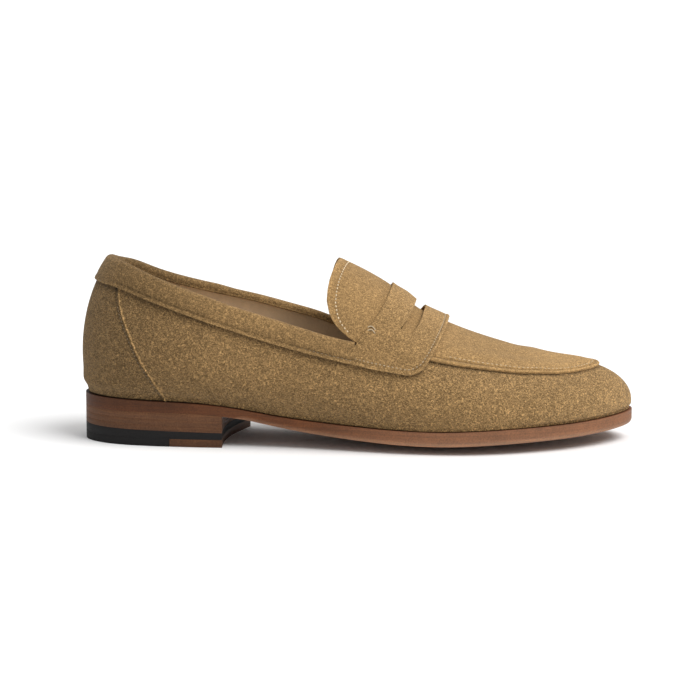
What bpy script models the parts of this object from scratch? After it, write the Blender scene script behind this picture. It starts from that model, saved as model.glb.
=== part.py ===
"""A right-foot penny loafer with a stacked leather heel, as separate pieces around one last.

All lengths here are in millimetres until make_object scales them to metres. +X runs from heel
to toe, +Y is the medial (inner) side of the foot, +Z is up and z = 0 is the ground.

Every leather piece lies on the same last. A point on the last has a station `a`, which runs
once round the foot (0 at the back of the heel, pi at the tip of the toe, lateral side first),
and a height `v` (0 at the feather edge, EQUATOR_V at the widest line, 1 on the ridge above the
foot, below 0 on the lasting margin under the foot). A third number, the depth `d`, is the
distance out from the last, so layers of leather are ranges of d.
"""

import bmesh
import bpy
import numpy as np

TO_METRES = 0.001
PI = np.pi

# ---------------------------------------------------------------- driving dimensions
HEEL_X = -145.2
TOE_X = 143.8
MIDDLE_X = (HEEL_X + TOE_X) / 2
HALF_LENGTH = (TOE_X - HEEL_X) / 2
BOX_CENTRE = np.array([-0.50, -0.28, 0.0])
EQUATOR_V = 0.2

LEATHER = 1.2
LINING = 0.8
STIFFENER = 0.8
GAP = 0.35
WALL_IN = LINING + GAP
LAP = LEATHER + GAP
FEATHER_RISE = LINING + LEATHER + 2 * GAP
MARGIN_WIDTH = 9.0
INSOLE = 2.4
SOCK = 1.0
CORK_REAR_X = -12.0
HEEL_PAD = 2.5

SOLE_OVERHANG = 4.0
SOLE_BEVEL = 1.2
HEEL_FRONT_X = -65.6
HEEL_FRONT_SLANT = 5.5
HEEL_FRONT_HOLLOW = 4.0
HEEL_HALF_WIDTH = 31.0
TOP_PIECE = 4.2
HEEL_SPLIT_X = -99.5
LIFT_SEAMS = ((9.0, 7.8), (12.1, 10.8), (15.2, 13.9))
BRAD_RADIUS = 1.1
BRAD_LENGTH = 2.6
BRAD_PLACES = ((-137, 0), (-124, -17), (-124, 18), (-84, -20), (-78, 21))

STATIONS = 27

# Widest line of the last: x, lateral y, medial y, then how far the feather edge sits inside it.
LAST_PLAN = (
    (-139.8, -14.0, 15.0, 2.6, 2.6),
    (-127.0, -23.7, 25.2, 3.9, 3.9),
    (-108.0, -29.5, 31.0, 5.2, 5.2),
    (-85.0, -32.2, 33.0, 5.6, 5.8),
    (-58.0, -34.0, 32.5, 6.2, 7.4),
    (-30.0, -37.0, 31.0, 6.6, 8.6),
    (0.0, -42.0, 33.0, 5.0, 7.2),
    (30.0, -46.6, 39.5, 3.2, 4.4),
    (55.0, -47.8, 45.5, 2.4, 2.8),
    (78.0, -44.3, 47.5, 2.0, 2.4),
    (100.0, -35.8, 44.5, 1.7, 1.9),
    (118.0, -25.5, 37.5, 1.4, 1.5),
    (132.0, -13.5, 28.5, 0.8, 0.8),
    (140.0, -3.5, 20.0, 0.4, 0.4),
)
HEEL_BACK = (0.5, 2.0)
TOE_TIP = (8.0, 0.1)

EQUATOR_Z = ((-145, 47), (-100, 45), (-50, 40), (0, 32), (40, 26), (80, 22.5), (144, 21))
RIDGE_Z = (
    (-145, 113.5), (-100, 115.5), (-70, 114), (-40, 107), (-25, 102), (-10, 95.0), (0, 90.1),
    (9, 85.1), (18, 79.0), (30, 68.9), (40, 63.6), (49, 59.6), (67, 52.8), (85, 47.1),
    (103, 41.8), (121, 40.3), (144, 40.6),
)
SPINE_Y = ((-99, 0.5), (-40, 1.0), (20, 4.0), (60, 5.5), (103, 7.4))

# Underside of the sole along its centre line, its thickness, and how far its edges rise.
SOLE_LOW_Z = (
    (-146, 18.4), (-105, 18.0), (-71, 16.7), (-41, 10.4), (-8, 4.7), (25, 0.95), (50, 0.06),
    (85, 1.85), (121, 5.3), (148, 9.0),
)
SOLE_THICK = ((-146, 6.8), (-100, 6.0), (-71, 5.2), (-25, 6.6), (25, 7.7), (90, 7.7), (148, 7.5))
SOLE_EDGE_RISE = ((-75, 0.0), (-41, 2.0), (-8, 3.2), (25, 3.6), (148, 3.6))

# Seams, by station x unless a comment says otherwise.
TOPLINE_Z = (
    (-145, 94.8), (-135, 93.8), (-120, 90.2), (-100, 84.0), (-82, 78.3), (-53.5, 69.8),
    (-25, 61.6), (-10, 57.6), (0, 55.6),
)
MEDIAL_DROP = (
    (-145, 2.4), (-130, 2.6), (-112, 3.7), (-95, 3.2), (-75, 1.4), (-55, -0.3), (-35, -0.9),
    (-20, -0.7), (-8, 1.1), (0, 2.4),
)
COLLAR_LOW_Z = (
    (-145, 84.6), (-130, 83.0), (-118, 79.8), (-92, 71.6), (-53.5, 59.6), (-15, 49.8), (0, 46.6),
)
APRON_V = (
    (26, 0.49), (41, 0.505), (58, 0.530), (76, 0.558), (94, 0.587), (112, 0.618), (144, 0.655),
)


# ---------------------------------------------------------------- curves
def smooth_curve(knots):
    """A natural cubic spline through (x, y) knots, held level past both ends."""
    x, y = np.array(knots, float).T
    step = np.diff(x)
    count = len(x)
    matrix, right = np.eye(count), np.zeros(count)
    for i in range(1, count - 1):
        matrix[i, i - 1 : i + 2] = step[i - 1], 2 * (step[i - 1] + step[i]), step[i]
        right[i] = 6 * ((y[i + 1] - y[i]) / step[i] - (y[i] - y[i - 1]) / step[i - 1])
    bend = np.linalg.solve(matrix, right)

    def at(t):
        t = np.clip(np.asarray(t, float), x[0], x[-1])
        i = np.clip(np.searchsorted(x, t) - 1, 0, count - 2)
        h, left, rest = step[i], t - x[i], x[i + 1] - t
        return (
            (bend[i] * rest**3 + bend[i + 1] * left**3) / (6 * h)
            + (y[i] / h - bend[i] * h / 6) * rest
            + (y[i + 1] / h - bend[i + 1] * h / 6) * left
        )

    return at


def ramp(t):
    """0 below 0, 1 above 1, smooth in between."""
    t = np.clip(t, 0, 1)
    return t * t * (3 - 2 * t)


def station(x, side):
    """The station whose widest point is at x, on the lateral (-1) or medial (+1) side."""
    a = np.arccos(np.clip((MIDDLE_X - np.asarray(x, float)) / HALF_LENGTH, -1, 1))
    return np.where(np.asarray(side) < 0, a, 2 * PI - a)


def station_x(a):
    return MIDDLE_X - HALF_LENGTH * np.cos(a)


def closed_curve(column):
    """A curve that repeats round the foot, from one column of LAST_PLAN on each side."""
    heel, toe = HEEL_BACK[column > 2], TOE_TIP[column > 2]
    lateral, medial = (1, 2) if column < 3 else (3, 4)
    knots = [(0.0, heel)]
    knots += [(float(station(row[0], -1)), row[lateral]) for row in LAST_PLAN]
    knots += [(PI, toe)]
    knots += [(float(station(row[0], 1)), row[medial]) for row in reversed(LAST_PLAN)]
    wrapped = [(a + turn, value) for turn in (-2 * PI, 0, 2 * PI) for a, value in knots]
    curve = smooth_curve(wrapped)
    return lambda a: curve(np.mod(a, 2 * PI))


plan_y = closed_curve(1)
feather_inset = closed_curve(3)
equator_z = smooth_curve(EQUATOR_Z)
ridge_z = smooth_curve(RIDGE_Z)
spine_y = smooth_curve(SPINE_Y)
sole_low_z = smooth_curve(SOLE_LOW_Z)
sole_thick = smooth_curve(SOLE_THICK)
sole_edge_rise = smooth_curve(SOLE_EDGE_RISE)
topline_z = smooth_curve(TOPLINE_Z)
collar_low_z = smooth_curve(COLLAR_LOW_Z)
medial_drop = smooth_curve(MEDIAL_DROP)
apron_v = smooth_curve(APRON_V)

FAN_FRONT = (50.0, 132.0)
FAN_REAR = (-40.0, -132.0)


def spine_x(x):
    """Where a station's line meets the spine: straight across amidships, fanned at both ends."""
    front = np.clip((x - FAN_FRONT[0]) / (FAN_FRONT[1] - FAN_FRONT[0]), 0, 1)
    rear = np.clip((x - FAN_REAR[0]) / (FAN_REAR[1] - FAN_REAR[0]), 0, 1)
    reach = 2 / PI
    return (
        np.clip(x, FAN_REAR[0], FAN_FRONT[0])
        + (FAN_FRONT[1] - FAN_FRONT[0]) * reach * np.sin(PI / 2 * front)
        + (FAN_REAR[1] - FAN_REAR[0]) * reach * np.sin(PI / 2 * rear)
    )


def plan(a):
    """Widest line of the last at station a, and its outward direction, both in plan."""
    tiny = 1e-4
    dx = HALF_LENGTH * np.sin(a)
    dy = (plan_y(a + tiny) - plan_y(a - tiny)) / (2 * tiny)
    size = np.hypot(dx, dy)
    return np.stack([station_x(a), plan_y(a)], -1), np.stack([dy / size, -dx / size], -1)


def sole_low(x, y):
    """Underside of the sole: a rocker along its length, and edges that rise from the middle."""
    return sole_low_z(x) + sole_edge_rise(x) * ((y - spine_y(x)) / 48) ** 2


def sole_top(x, y):
    return sole_low(x, y) + sole_thick(x)


def base_z(x, y):
    """The base of the last, which the insole's underside follows."""
    return sole_top(x, y) + FEATHER_RISE


def feather(a, inwards=0.0):
    """The feather edge at station a, moved inwards in plan, at the height of the last's base."""
    edge, out = plan(a)
    xy = edge - out * (feather_inset(a) + inwards)[..., None]
    return np.concatenate([xy, base_z(xy[..., 0], xy[..., 1])[..., None]], -1)


def last_point(a, v):
    """A point of the last: a curve out from the feather edge to the widest line, then a quarter
    ellipse over to the spine."""
    a, v = np.broadcast_arrays(np.asarray(a, float), np.asarray(v, float))
    edge, out = plan(a)
    low = feather(a)
    waist_z = equator_z(station_x(a))
    rise = np.clip(v / EQUATOR_V, 0, 1)
    turn = PI / 2 * np.clip((v - EQUATOR_V) / (1 - EQUATOR_V), 0, 1)
    target_x = spine_x(station_x(a))
    target = np.stack([target_x, spine_y(target_x)], -1)
    side = edge - out * (feather_inset(a) * (1 - np.sin(PI / 2 * rise)))[..., None]
    xy = side + (target - edge) * (1 - np.cos(turn))[..., None]
    low_z = low[..., 2] + (waist_z - low[..., 2]) * rise
    z = low_z + (ridge_z(xy[..., 0]) - waist_z) * np.sin(turn)
    return np.concatenate([xy, z[..., None]], -1)


def unit(vectors):
    return vectors / np.linalg.norm(vectors, axis=-1, keepdims=True)


def last_normal(a, v):
    """Outward direction of the last. Across the ridge it is the ridge's own, so halves meet."""
    tiny = 1e-4
    a, v = np.broadcast_arrays(np.asarray(a, float), np.asarray(v, float))
    held = np.clip(v, 2 * tiny, 0.97)
    along = last_point(a + tiny, held) - last_point(a - tiny, held)
    up = last_point(a, held + tiny) - last_point(a, held - tiny)
    normal = unit(np.cross(along, up))
    x = last_point(a, v)[..., 0]
    slope = (ridge_z(x + 0.5) - ridge_z(x - 0.5)) / 1.0
    crest = unit(np.stack([-slope, 0 * slope, 0 * slope + 1], -1))
    share = ramp((v - 0.88) / 0.12)[..., None]
    return unit(normal * (1 - share) + crest * share)


def on_last(a, v, d):
    """The point at station a, height v and depth d. Below v = 0 it runs under the foot."""
    a, v, d = np.broadcast_arrays(*(np.asarray(k, float) for k in (a, v, d)))
    side = last_point(a, v) + last_normal(a, v) * d[..., None]
    out = plan(a)[1]
    corner_xy = feather(a)[..., :2] + out * d[..., None]
    corner_z = base_z(corner_xy[..., 0], corner_xy[..., 1]) - d
    corner = np.concatenate([corner_xy, corner_z[..., None]], -1)
    under = feather(a, np.maximum(-v, 0) * MARGIN_WIDTH)
    under = under - np.array([0, 0, 1.0]) * d[..., None]
    point = np.where((v < 0)[..., None], under, side)
    return np.where((v == 0)[..., None], corner, point)


def height_at(a, z):
    """The v at which station a reaches the height z."""
    a, z = np.broadcast_arrays(np.asarray(a, float), np.asarray(z, float))
    rows = np.linspace(EQUATOR_V, 1, 81)
    levels = last_point(a[..., None], rows)[..., 2]
    flat = [np.interp(zi, level, rows) for zi, level in zip(z.ravel(), levels.reshape(-1, 81))]
    return np.array(flat).reshape(a.shape)


# ---------------------------------------------------------------- seams of the upper
STIFFENED_HEEL_X = (-66.0, -80.0)
STIFFENED_TOE_X = (84.0, 98.0)
COLLAR_END_X = 0.0
SADDLE_LOW_V = ((0, 0.330), (13, 0.338), (24, 0.356), (31, 0.382), (36, 0.430))
SADDLE_FRONT_X = ((0.430, 36.0), (0.495, 38.8), (0.571, 41.0), (0.775, 45.1), (1.0, 46.8))
SADDLE_REAR_X = ((0.412, 0.0), (0.568, 8.8), (0.694, 13.0), (1.0, 16.2))
SLOT_LOW_V = 0.6
TONGUE_EDGE_X = (
    (0.455, -4.0), (0.469, -7.6), (0.50, -11.5), (0.53, -13.6), (0.589, -15.6), (0.655, -15.3),
    (0.79, -13.6), (1.0, -10.6),
)
TONGUE_LOW_V = 0.46
APRON_REAR_X = 26.0
APRON_LAP_V = 0.09
TOP_EDGE_V = 0.007
COUNTER_SEAM_X = (
    (0, -102.5), (0.1, -107.3), (0.21, -114.2), (0.32, -121.2), (0.43, -127.5), (0.55, -131),
)
LINING_JOINT_X = -5.0
HEEL_GRIP_X = -100.0
COLLAR_INSIDE = 6.0
STRAP_RISE = (0.7, 1.9)

saddle_low_v = smooth_curve(SADDLE_LOW_V)
saddle_front_x = smooth_curve(SADDLE_FRONT_X)
saddle_rear_x = smooth_curve(SADDLE_REAR_X)
tongue_edge_x = smooth_curve(TONGUE_EDGE_X)
counter_seam_x = smooth_curve(COUNTER_SEAM_X)


def between(low, high, share):
    return low + (high - low) * share


def wall_in(a, v):
    """Depth of the inner face of the outer leather: it stands off over the two stiffeners."""
    x = station_x(a)
    heel = ramp((x - STIFFENED_HEEL_X[0]) / (STIFFENED_HEEL_X[1] - STIFFENED_HEEL_X[0]))
    toe = ramp((x - STIFFENED_TOE_X[0]) / (STIFFENED_TOE_X[1] - STIFFENED_TOE_X[0]))
    return WALL_IN + (STIFFENER + GAP) * (heel + toe) * ramp(v / 0.06)


def over_wall(a, v):
    """Depth of a piece that laps over the outer leather."""
    return wall_in(a, v) + LAP


def saddle_in(a, v):
    """Depth of the saddle's inner face, which rises to clear the tongue, then the apron."""
    rise = between(*STRAP_RISE, ramp((station_x(a) - 17) / 7))
    return over_wall(a, v) + rise * ramp((v - 0.38) / 0.10)


def topline_v(a):
    """Height of the topline, which dips less at the waist on the medial side."""
    medial = ramp(-2.5 * np.sin(a))
    return height_at(a, topline_z(station_x(a)) - medial_drop(station_x(a)) * medial)


def collar_low_v(a):
    """Height of the collar's lower edge, which follows the topline on the medial side."""
    medial = ramp(-2.5 * np.sin(a))
    drop = (medial_drop(station_x(a)) - medial_drop(COLLAR_END_X)) * medial
    return height_at(a, collar_low_z(station_x(a)) - drop)


def wall_top_v(a):
    """Top edge of the outer leather: just under the collar's roll, then under the apron."""
    x = station_x(a)
    front = apron_v(x) + APRON_LAP_V
    share = ramp((x - COLLAR_END_X) / (APRON_REAR_X - COLLAR_END_X))
    return between(topline_v(a) - TOP_EDGE_V, front, share)


# ---------------------------------------------------------------- bodies
def grid_faces(rows, columns):
    start = np.arange((rows - 1) * columns).reshape(rows - 1, columns)[:, :-1].ravel()
    return np.stack([start, start + 1, start + columns + 1, start + columns], -1)


def merged(points, faces):
    """Points that coincide become one, and faces lose the corners that fell together."""
    _, first, new = np.unique(np.round(points, 4), axis=0, return_index=True, return_inverse=True)
    new = new.ravel()
    kept = []
    for face in faces:
        corners = [int(new[k]) for k in face]
        corners = [k for i, k in enumerate(corners) if k != corners[i - 1]]
        if len(set(corners)) == len(corners) >= 3:
            kept.append(corners)
    return points[first], kept


def thick_sheet(outer, inner, faces):
    """A closed shell between an outer and an inner copy of the same net of faces."""
    outer, inner = np.reshape(outer, (-1, 3)), np.reshape(inner, (-1, 3))
    both, faces = merged(np.hstack([outer, inner]), faces)
    count = len(both)
    edges = {(face[i - 1], face[i]) for face in faces for i in range(len(face))}
    rim = [(b, a, a + count, b + count) for a, b in sorted(edges) if (b, a) not in edges]
    back = [[k + count for k in reversed(face)] for face in faces]
    return np.vstack([both[:, :3], both[:, 3:]]), [*faces, *back, *rim]


def layer(a, v, depth_in, depth_out, faces=None):
    """A shell on the last, from grids of stations and heights, between two depths."""
    a, v = np.broadcast_arrays(a, v)
    if faces is None:
        faces = grid_faces(*a.shape)
    return thick_sheet(on_last(a, v, depth_out), on_last(a, v, depth_in), faces)


def ring_body(centre, rings):
    """A closed body from rings: each has an outline, its share of the way in to the centre
    line, and a surface that it lies on."""
    grid = []
    for outline, share, height in rings:
        xy = between(outline, centre, share)
        z = height(xy[:, 0], xy[:, 1]) + 0 * xy[:, 0]
        grid.append(np.concatenate([xy, z[:, None]], 1))
    grid = np.array(grid)
    grid = np.concatenate([grid, grid[:, :1]], 1)
    return merged(grid.reshape(-1, 3), grid_faces(*grid.shape[:2]))


def tube(path, radius, sides=5):
    """A thin round cord along a path, closed at both ends."""
    path = np.array(path, float)
    ahead = unit(np.gradient(path, axis=0))
    across = unit(np.cross(ahead, np.array([0.03, 0.05, 1.0])))
    other = np.cross(ahead, across)
    turn = np.linspace(0, 2 * PI, sides + 1)
    ring = across[:, None] * np.cos(turn)[:, None] + other[:, None] * np.sin(turn)[:, None]
    grid = path[:, None] + radius * ring
    ends = np.repeat(path[[0, -1], None], sides + 1, axis=1)
    grid = np.concatenate([ends[:1], grid, ends[1:]])
    return merged(grid.reshape(-1, 3), grid_faces(*grid.shape[:2]))


def add_material(name, colour, roughness, metallic=0.0):
    material = bpy.data.materials.new(name)
    material.use_nodes = True
    shader = material.node_tree.nodes["Principled BSDF"]
    shader.inputs["Base Color"].default_value = (*colour, 1)
    shader.inputs["Roughness"].default_value = roughness
    shader.inputs["Metallic"].default_value = metallic
    return material


def make_object(name, body, material, origin=(0, 0, 0)):
    points, faces = body
    mesh = bpy.data.meshes.new(name)
    shifted = (np.asarray(points) - np.array(origin)) * TO_METRES
    mesh.from_pydata(shifted.tolist(), [], [list(map(int, face)) for face in faces])
    if material:
        mesh.materials.append(material)
    item = bpy.data.objects.new(name, mesh)
    bpy.context.scene.collection.objects.link(item)
    item.location = (np.array(origin) - BOX_CENTRE) * TO_METRES
    turn_outwards(mesh)
    return item


def turn_outwards(mesh):
    work = bmesh.new()
    work.from_mesh(mesh)
    bmesh.ops.recalc_face_normals(work, faces=work.faces)
    work.to_mesh(mesh)
    work.free()


# ---------------------------------------------------------------- the grids
ROWS = np.array([-1.0, 0.0, 0.1, 0.2, 0.29, 0.38, 0.47, 0.56, 0.65, 0.74, 0.83, 0.92, 1.0])
STRAP_COLUMNS_X = (-12.0, -5.0, 0.0, 6.0, 12.0, 18.0, 24.0, 31.0, 39.0, 48.0, 58.0)


def round_columns():
    """Shared columns of every piece: closer at heel and toe, and set ones under the strap."""
    even = np.linspace(0, 2 * PI, 2 * STATIONS + 1)
    even = even - 0.14 * np.sin(2 * even)
    fixed = np.concatenate([station(STRAP_COLUMNS_X, -1), station(STRAP_COLUMNS_X, 1)])
    apart = np.min(abs(even[:, None] - fixed), axis=1) > 0.05
    return np.sort(np.concatenate([even[apart], fixed]))


ROUND = round_columns()
WALL_ROWS = ROWS[ROWS < 0.75]


def rows_to(top):
    """The shared row heights, held at the height `top` of each column where they pass it."""
    return np.minimum(ROWS[:, None], top)


def columns_between(start, end):
    """The shared columns that lie between two stations, and the two stations themselves."""
    turns = np.concatenate([ROUND - 2 * PI, ROUND])
    inner = turns[(turns > start + 0.03) & (turns < end - 0.03)]
    return np.concatenate([[start], inner, [end]])


def heel_columns(x):
    """Columns round the back of the heel, from x on the medial side to x on the lateral."""
    return columns_between(float(station(x, 1)) - 2 * PI, float(station(x, -1)))


def toe_columns(x):
    """Columns round the toe, from x on the lateral side to x on the medial."""
    return columns_between(float(station(x, -1)), float(station(x, 1)))


# ---------------------------------------------------------------- the upper
def wall_rows(a):
    """Heights for a grid of stations whose rows run from the margin to the wall's top edge."""
    return np.minimum(WALL_ROWS[:, None], wall_top_v(a))


def vamp_wall():
    """The lower wall, from one counter seam round the toe to the other."""
    seam = counter_seam_x(WALL_ROWS) + GAP
    a = np.array([np.clip(ROUND, station(x, -1), station(x, 1)) for x in seam])
    v = wall_rows(a)
    inner = wall_in(a, v)
    return layer(a, v, inner, inner + LEATHER)


def heel_cover():
    """The counter cover over the back of the heel, between the two curved seams."""
    seam = counter_seam_x(WALL_ROWS) - GAP
    columns = np.concatenate([ROUND - 2 * PI, ROUND])
    columns = columns[abs(columns) < 1]
    a = np.array([np.clip(columns, -station(x, -1), station(x, -1)) for x in seam])
    v = wall_rows(a)
    inner = wall_in(a, v)
    return layer(a, v, inner, inner + LEATHER)


def apron():
    """The apron: it laps over the wall at its edge and steps down inside the lap."""
    a = toe_columns(APRON_REAR_X)
    edge = apron_v(station_x(a))
    lap = np.array([0, 0.5, 1.0])[:, None] * (APRON_LAP_V + 0.01)
    down = edge + APRON_LAP_V + 0.085
    flat = np.maximum(ROWS[ROWS > 0.7][:, None], down)
    v = np.vstack([edge + lap, down[None], flat])
    a = a + 0 * v
    inner = over_wall(a, v) - LAP * ramp((v - edge - APRON_LAP_V - 0.01) / 0.07)
    return layer(a, v, inner, inner + LEATHER)


def across_foot(rear_x, front_x, rows, columns):
    """Grid over the ridge, from a lateral height up and down again to the medial one."""
    share = np.linspace(0, 1, columns)
    a, v = [], []
    for side, heights in ((-1, rows), (1, rows[::-1][1:])):
        for height in heights:
            x = between(float(rear_x(height)), float(front_x(height)), share)
            a.append(station(x, side))
            v.append(0 * x + height)
    return np.array(a), np.array(v)


def tongue_split_x(v):
    """Where the part of the tongue that lifts meets the part that is sewn down."""
    return saddle_rear_x(v) - 1.5


def tongue_flap():
    rows = np.array([TONGUE_LOW_V, 0.48, 0.52, 0.58, 0.66, 0.74, 0.82, 0.91, 1.0])
    a, v = across_foot(tongue_edge_x, tongue_split_x, rows, 6)
    return layer(a, v, WALL_IN, WALL_IN + LEATHER)


def tongue_lining():
    rows = np.array([TONGUE_LOW_V + 0.01, 0.5, 0.54, 0.6, 0.68, 0.76, 0.84, 0.92, 1.0])
    a, v = across_foot(
        lambda h: tongue_edge_x(h) + 0.8, lambda h: tongue_split_x(h) - 0.5, rows, 5
    )
    return layer(a, v, 0.0, LINING)


def tongue_base():
    """The fixed front of the tongue, under the strap, from wall to wall over the ridge."""
    up = np.array([0, 0.12, 0.25, 0.4, 0.55, 0.7, 0.85, 1.0])
    side = np.concatenate([-np.ones(8), np.ones(7)])[:, None]
    share = np.concatenate([up, up[-2::-1]])[:, None]
    forward = np.linspace(0, 1, 6)
    v = share + 0 * forward
    for _ in range(6):
        rear = np.maximum(tongue_split_x(v) + 0.7, 1.0)
        a = station(between(rear, APRON_REAR_X - 0.7, forward), side)
        v = between(wall_top_v(a) + 0.02, 1.0, share)
    return layer(a, v, WALL_IN + GAP, WALL_IN + GAP + LEATHER)


def saddle_grid():
    """Net of the saddle: rows cross the foot from lateral to medial, columns run forward.

    Its rear edge is the end of the collar up to the topline, then the strap's own rear edge.
    """
    end_low = float(collar_low_v(station(COLLAR_END_X, -1)))
    end_top = float(topline_v(station(COLLAR_END_X, -1)))
    left = [end_low, (end_low + end_top) / 2, end_top, 0.47, 0.54, SLOT_LOW_V, 0.70, 0.80, 0.90, 1.0]
    front_low = float(SADDLE_FRONT_X[0][0])
    share = np.array([0, 0.13, 0.26, 0.380, 0.575, 0.7, 0.85, 1.0])
    a, v = [], []
    last = len(left) - 1
    for side, order in ((-1, range(len(left))), (1, range(last - 1, -1, -1))):
        for k in order:
            low = left[k]
            if side > 0 and k < 3:
                base = station(COLLAR_END_X, 1)
                ends = float(collar_low_v(base)), float(topline_v(base))
                low = ends[0] + (ends[1] - ends[0]) * k / 2
            high = front_low + (1 - front_low) * max(k / last, (low - 0.46) / 0.54)
            if k == 0:
                high = front_low
            height = between(low, high, share)
            rear = COLLAR_END_X if k < 3 else float(saddle_rear_x(low))
            x = between(rear, float(saddle_front_x(high)), share)
            bulge = saddle_low_v(x) - between(saddle_low_v(x[0]), saddle_low_v(x[-1]), share)
            height = height + bulge * max(0, 1 - k / 4)
            a.append(station(x, side))
            v.append(height)
    return np.array(a), np.array(v), share


def saddle_collar():
    """The collar, rolled over the topline, and the saddle with its strap and slot, in one."""
    a, v, share = saddle_grid()
    inner = saddle_in(a, v)
    rows, columns = a.shape
    outer_points = on_last(a, v, inner + LEATHER).reshape(-1, 3)
    inner_points = on_last(a, v, inner).reshape(-1, 3)
    faces = grid_faces(rows, columns).reshape(rows - 1, columns - 1, 4)
    slot_column = 3
    slot_rows = [k for k in range(rows - 1) if 5 <= k and k + 1 <= rows - 1 - 5]
    keep = np.ones((rows - 1, columns - 1), bool)
    keep[slot_rows, slot_column] = False
    faces = faces[keep]

    around = heel_columns(COLLAR_END_X)
    low, top = collar_low_v(around), topline_v(around)
    bands_v = np.array([low, (low + top) / 2, top])
    band_in = over_wall(around + 0 * bands_v, bands_v)
    blend = ramp((station_x(around) + 14) / 14)
    target = saddle_in(around + 0 * bands_v, bands_v)
    band_in = between(band_in, target, blend)
    outer = [*on_last(around + 0 * bands_v, bands_v, band_in + LEATHER)]
    inner = [*on_last(around + 0 * bands_v, bands_v, band_in)]
    roll = (band_in[2] + GAP) / 2
    tiny = 0.003
    normal = last_normal(around, top)
    upward = unit(last_point(around, top + tiny) - last_point(around, top - tiny))
    for angle in (45, 90, 135, 180):
        turn = np.radians(angle)
        heading = normal * np.cos(turn) + upward * np.sin(turn)
        centre = last_point(around, top) + normal * (band_in[2] - roll)[:, None]
        inner.append(centre + heading * roll[:, None])
        outer.append(centre + heading * (roll + LEATHER)[:, None])
    inside_v = height_at(around, last_point(around, top)[:, 2] - COLLAR_INSIDE)
    inner.append(on_last(around, inside_v, -GAP))
    outer.append(on_last(around, inside_v, -GAP - LEATHER))
    band_rows = len(outer)
    collar_faces = grid_faces(band_rows, len(around)) + len(outer_points)
    outer_points = np.vstack([outer_points, np.concatenate(outer)])
    inner_points = np.vstack([inner_points, np.concatenate(inner)])
    return thick_sheet(outer_points, inner_points, [*faces, *collar_faces])


# ---------------------------------------------------------------- linings and stiffeners
def lining_shell(a, top):
    return layer(a, rows_to(top), 0.0, LINING)


def vamp_lining():
    """Lining of the forepart. Its rear edge climbs the strap's rear edge to the ridge."""
    a = toe_columns(LINING_JOINT_X + GAP)
    rear_v, rear_x = np.array(SADDLE_REAR_X).T
    climb = np.interp(station_x(a), rear_x, rear_v)
    top = np.where(station_x(a) > COLLAR_END_X + 0.01, climb, topline_v(a) - TOP_EDGE_V)
    return lining_shell(a, top)


def quarter_lining(side):
    ends = sorted((float(station(HEEL_GRIP_X + GAP, side)), float(station(LINING_JOINT_X, side))))
    a = columns_between(*ends)
    return lining_shell(a, topline_v(a) - TOP_EDGE_V)


def heel_grip_lining():
    a = heel_columns(HEEL_GRIP_X)
    return lining_shell(a, topline_v(a) - TOP_EDGE_V)


def stiffener(a, top):
    v = ROWS[(ROWS > 0) & (ROWS < top)][:, None]
    return layer(a, v, WALL_IN, WALL_IN + STIFFENER)


def counter_stiffener():
    return stiffener(heel_columns(-84.0), 0.4)


def toe_puff():
    return stiffener(toe_columns(101.0), 1.1)


# ---------------------------------------------------------------- threads
THREAD = 0.35
THREAD_LIFT = LEATHER + GAP + THREAD


def thread_path(a, v, depth):
    return on_last(np.asarray(a), np.asarray(v), np.asarray(depth) + THREAD_LIFT)


def apron_thread():
    a = toe_columns(52.0)
    v = apron_v(station_x(a)) + 0.035
    return tube(thread_path(a, v, over_wall(a, v)), THREAD)


def collar_thread():
    a = heel_columns(-2.0)
    v = height_at(a, collar_low_z(station_x(a)) + 2.4)
    return tube(thread_path(a, v, over_wall(a, v) + 0.25), THREAD)


def saddle_thread():
    rows = np.linspace(0.47, 1.0, 9)
    side = [-1] * len(rows) + [1] * (len(rows) - 1)
    v = np.concatenate([rows, rows[-2::-1]])
    a = station(saddle_front_x(v) - 3.2, np.array(side))
    return tube(thread_path(a, v, saddle_in(a, v)), THREAD)


def tongue_thread():
    rows = np.linspace(0.48, 1.0, 9)
    side = [-1] * len(rows) + [1] * (len(rows) - 1)
    v = np.concatenate([rows, rows[-2::-1]])
    a = station(tongue_edge_x(v) + 4.5, np.array(side))
    return tube(thread_path(a, v, WALL_IN + 0 * v), THREAD)


def counter_thread(side):
    v = np.linspace(0.03, 0.26, 8)
    a = station(counter_seam_x(v) - 3.0, side)
    return tube(thread_path(a, v, wall_in(a, v)), THREAD)


def saddle_tack(side):
    v = np.linspace(0.50, 0.53, 3)
    a = station(np.linspace(6.5, 12.0, 3), side)
    return tube(thread_path(a, v, saddle_in(a, v)), 0.45)


# ---------------------------------------------------------------- under the foot
def feather_outline(inwards):
    a = ROUND[:-1]
    x = spine_x(station_x(a))
    return feather(a, inwards)[:, :2], np.stack([x, spine_y(x)], -1)


def raised(surface, amount):
    return lambda x, y: surface(x, y) + amount


def outsole():
    """The sole: one thickness of leather with its lower edge bevelled."""
    edge, centre = feather_outline(-SOLE_OVERHANG)
    foot, _ = feather_outline(SOLE_BEVEL - SOLE_OVERHANG)
    bottom = [(foot, share, sole_low) for share in (1.0, 0.5, 0.0)]
    side = [(edge, 0.0, raised(sole_low, 2 * SOLE_BEVEL)), (edge, 0.0, sole_top)]
    top = [(edge, share, sole_top) for share in (0.3, 0.65, 1.0)]
    return ring_body(centre, [*bottom, *side, *top])


def plate(outline, centre, low, high, shares=(0.0, 0.5, 1.0)):
    bottom = [(outline, share, low) for share in shares[::-1]]
    top = [(outline, share, high) for share in shares]
    return ring_body(centre, [*bottom, *top])


def sock_rise(x, y):
    return base_z(x, y) + 2 * GAP + INSOLE + (HEEL_PAD + GAP) * ramp((-50 - x) / 16)


def insole():
    return plate(*feather_outline(0.6), raised(base_z, GAP), raised(base_z, GAP + INSOLE))


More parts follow.
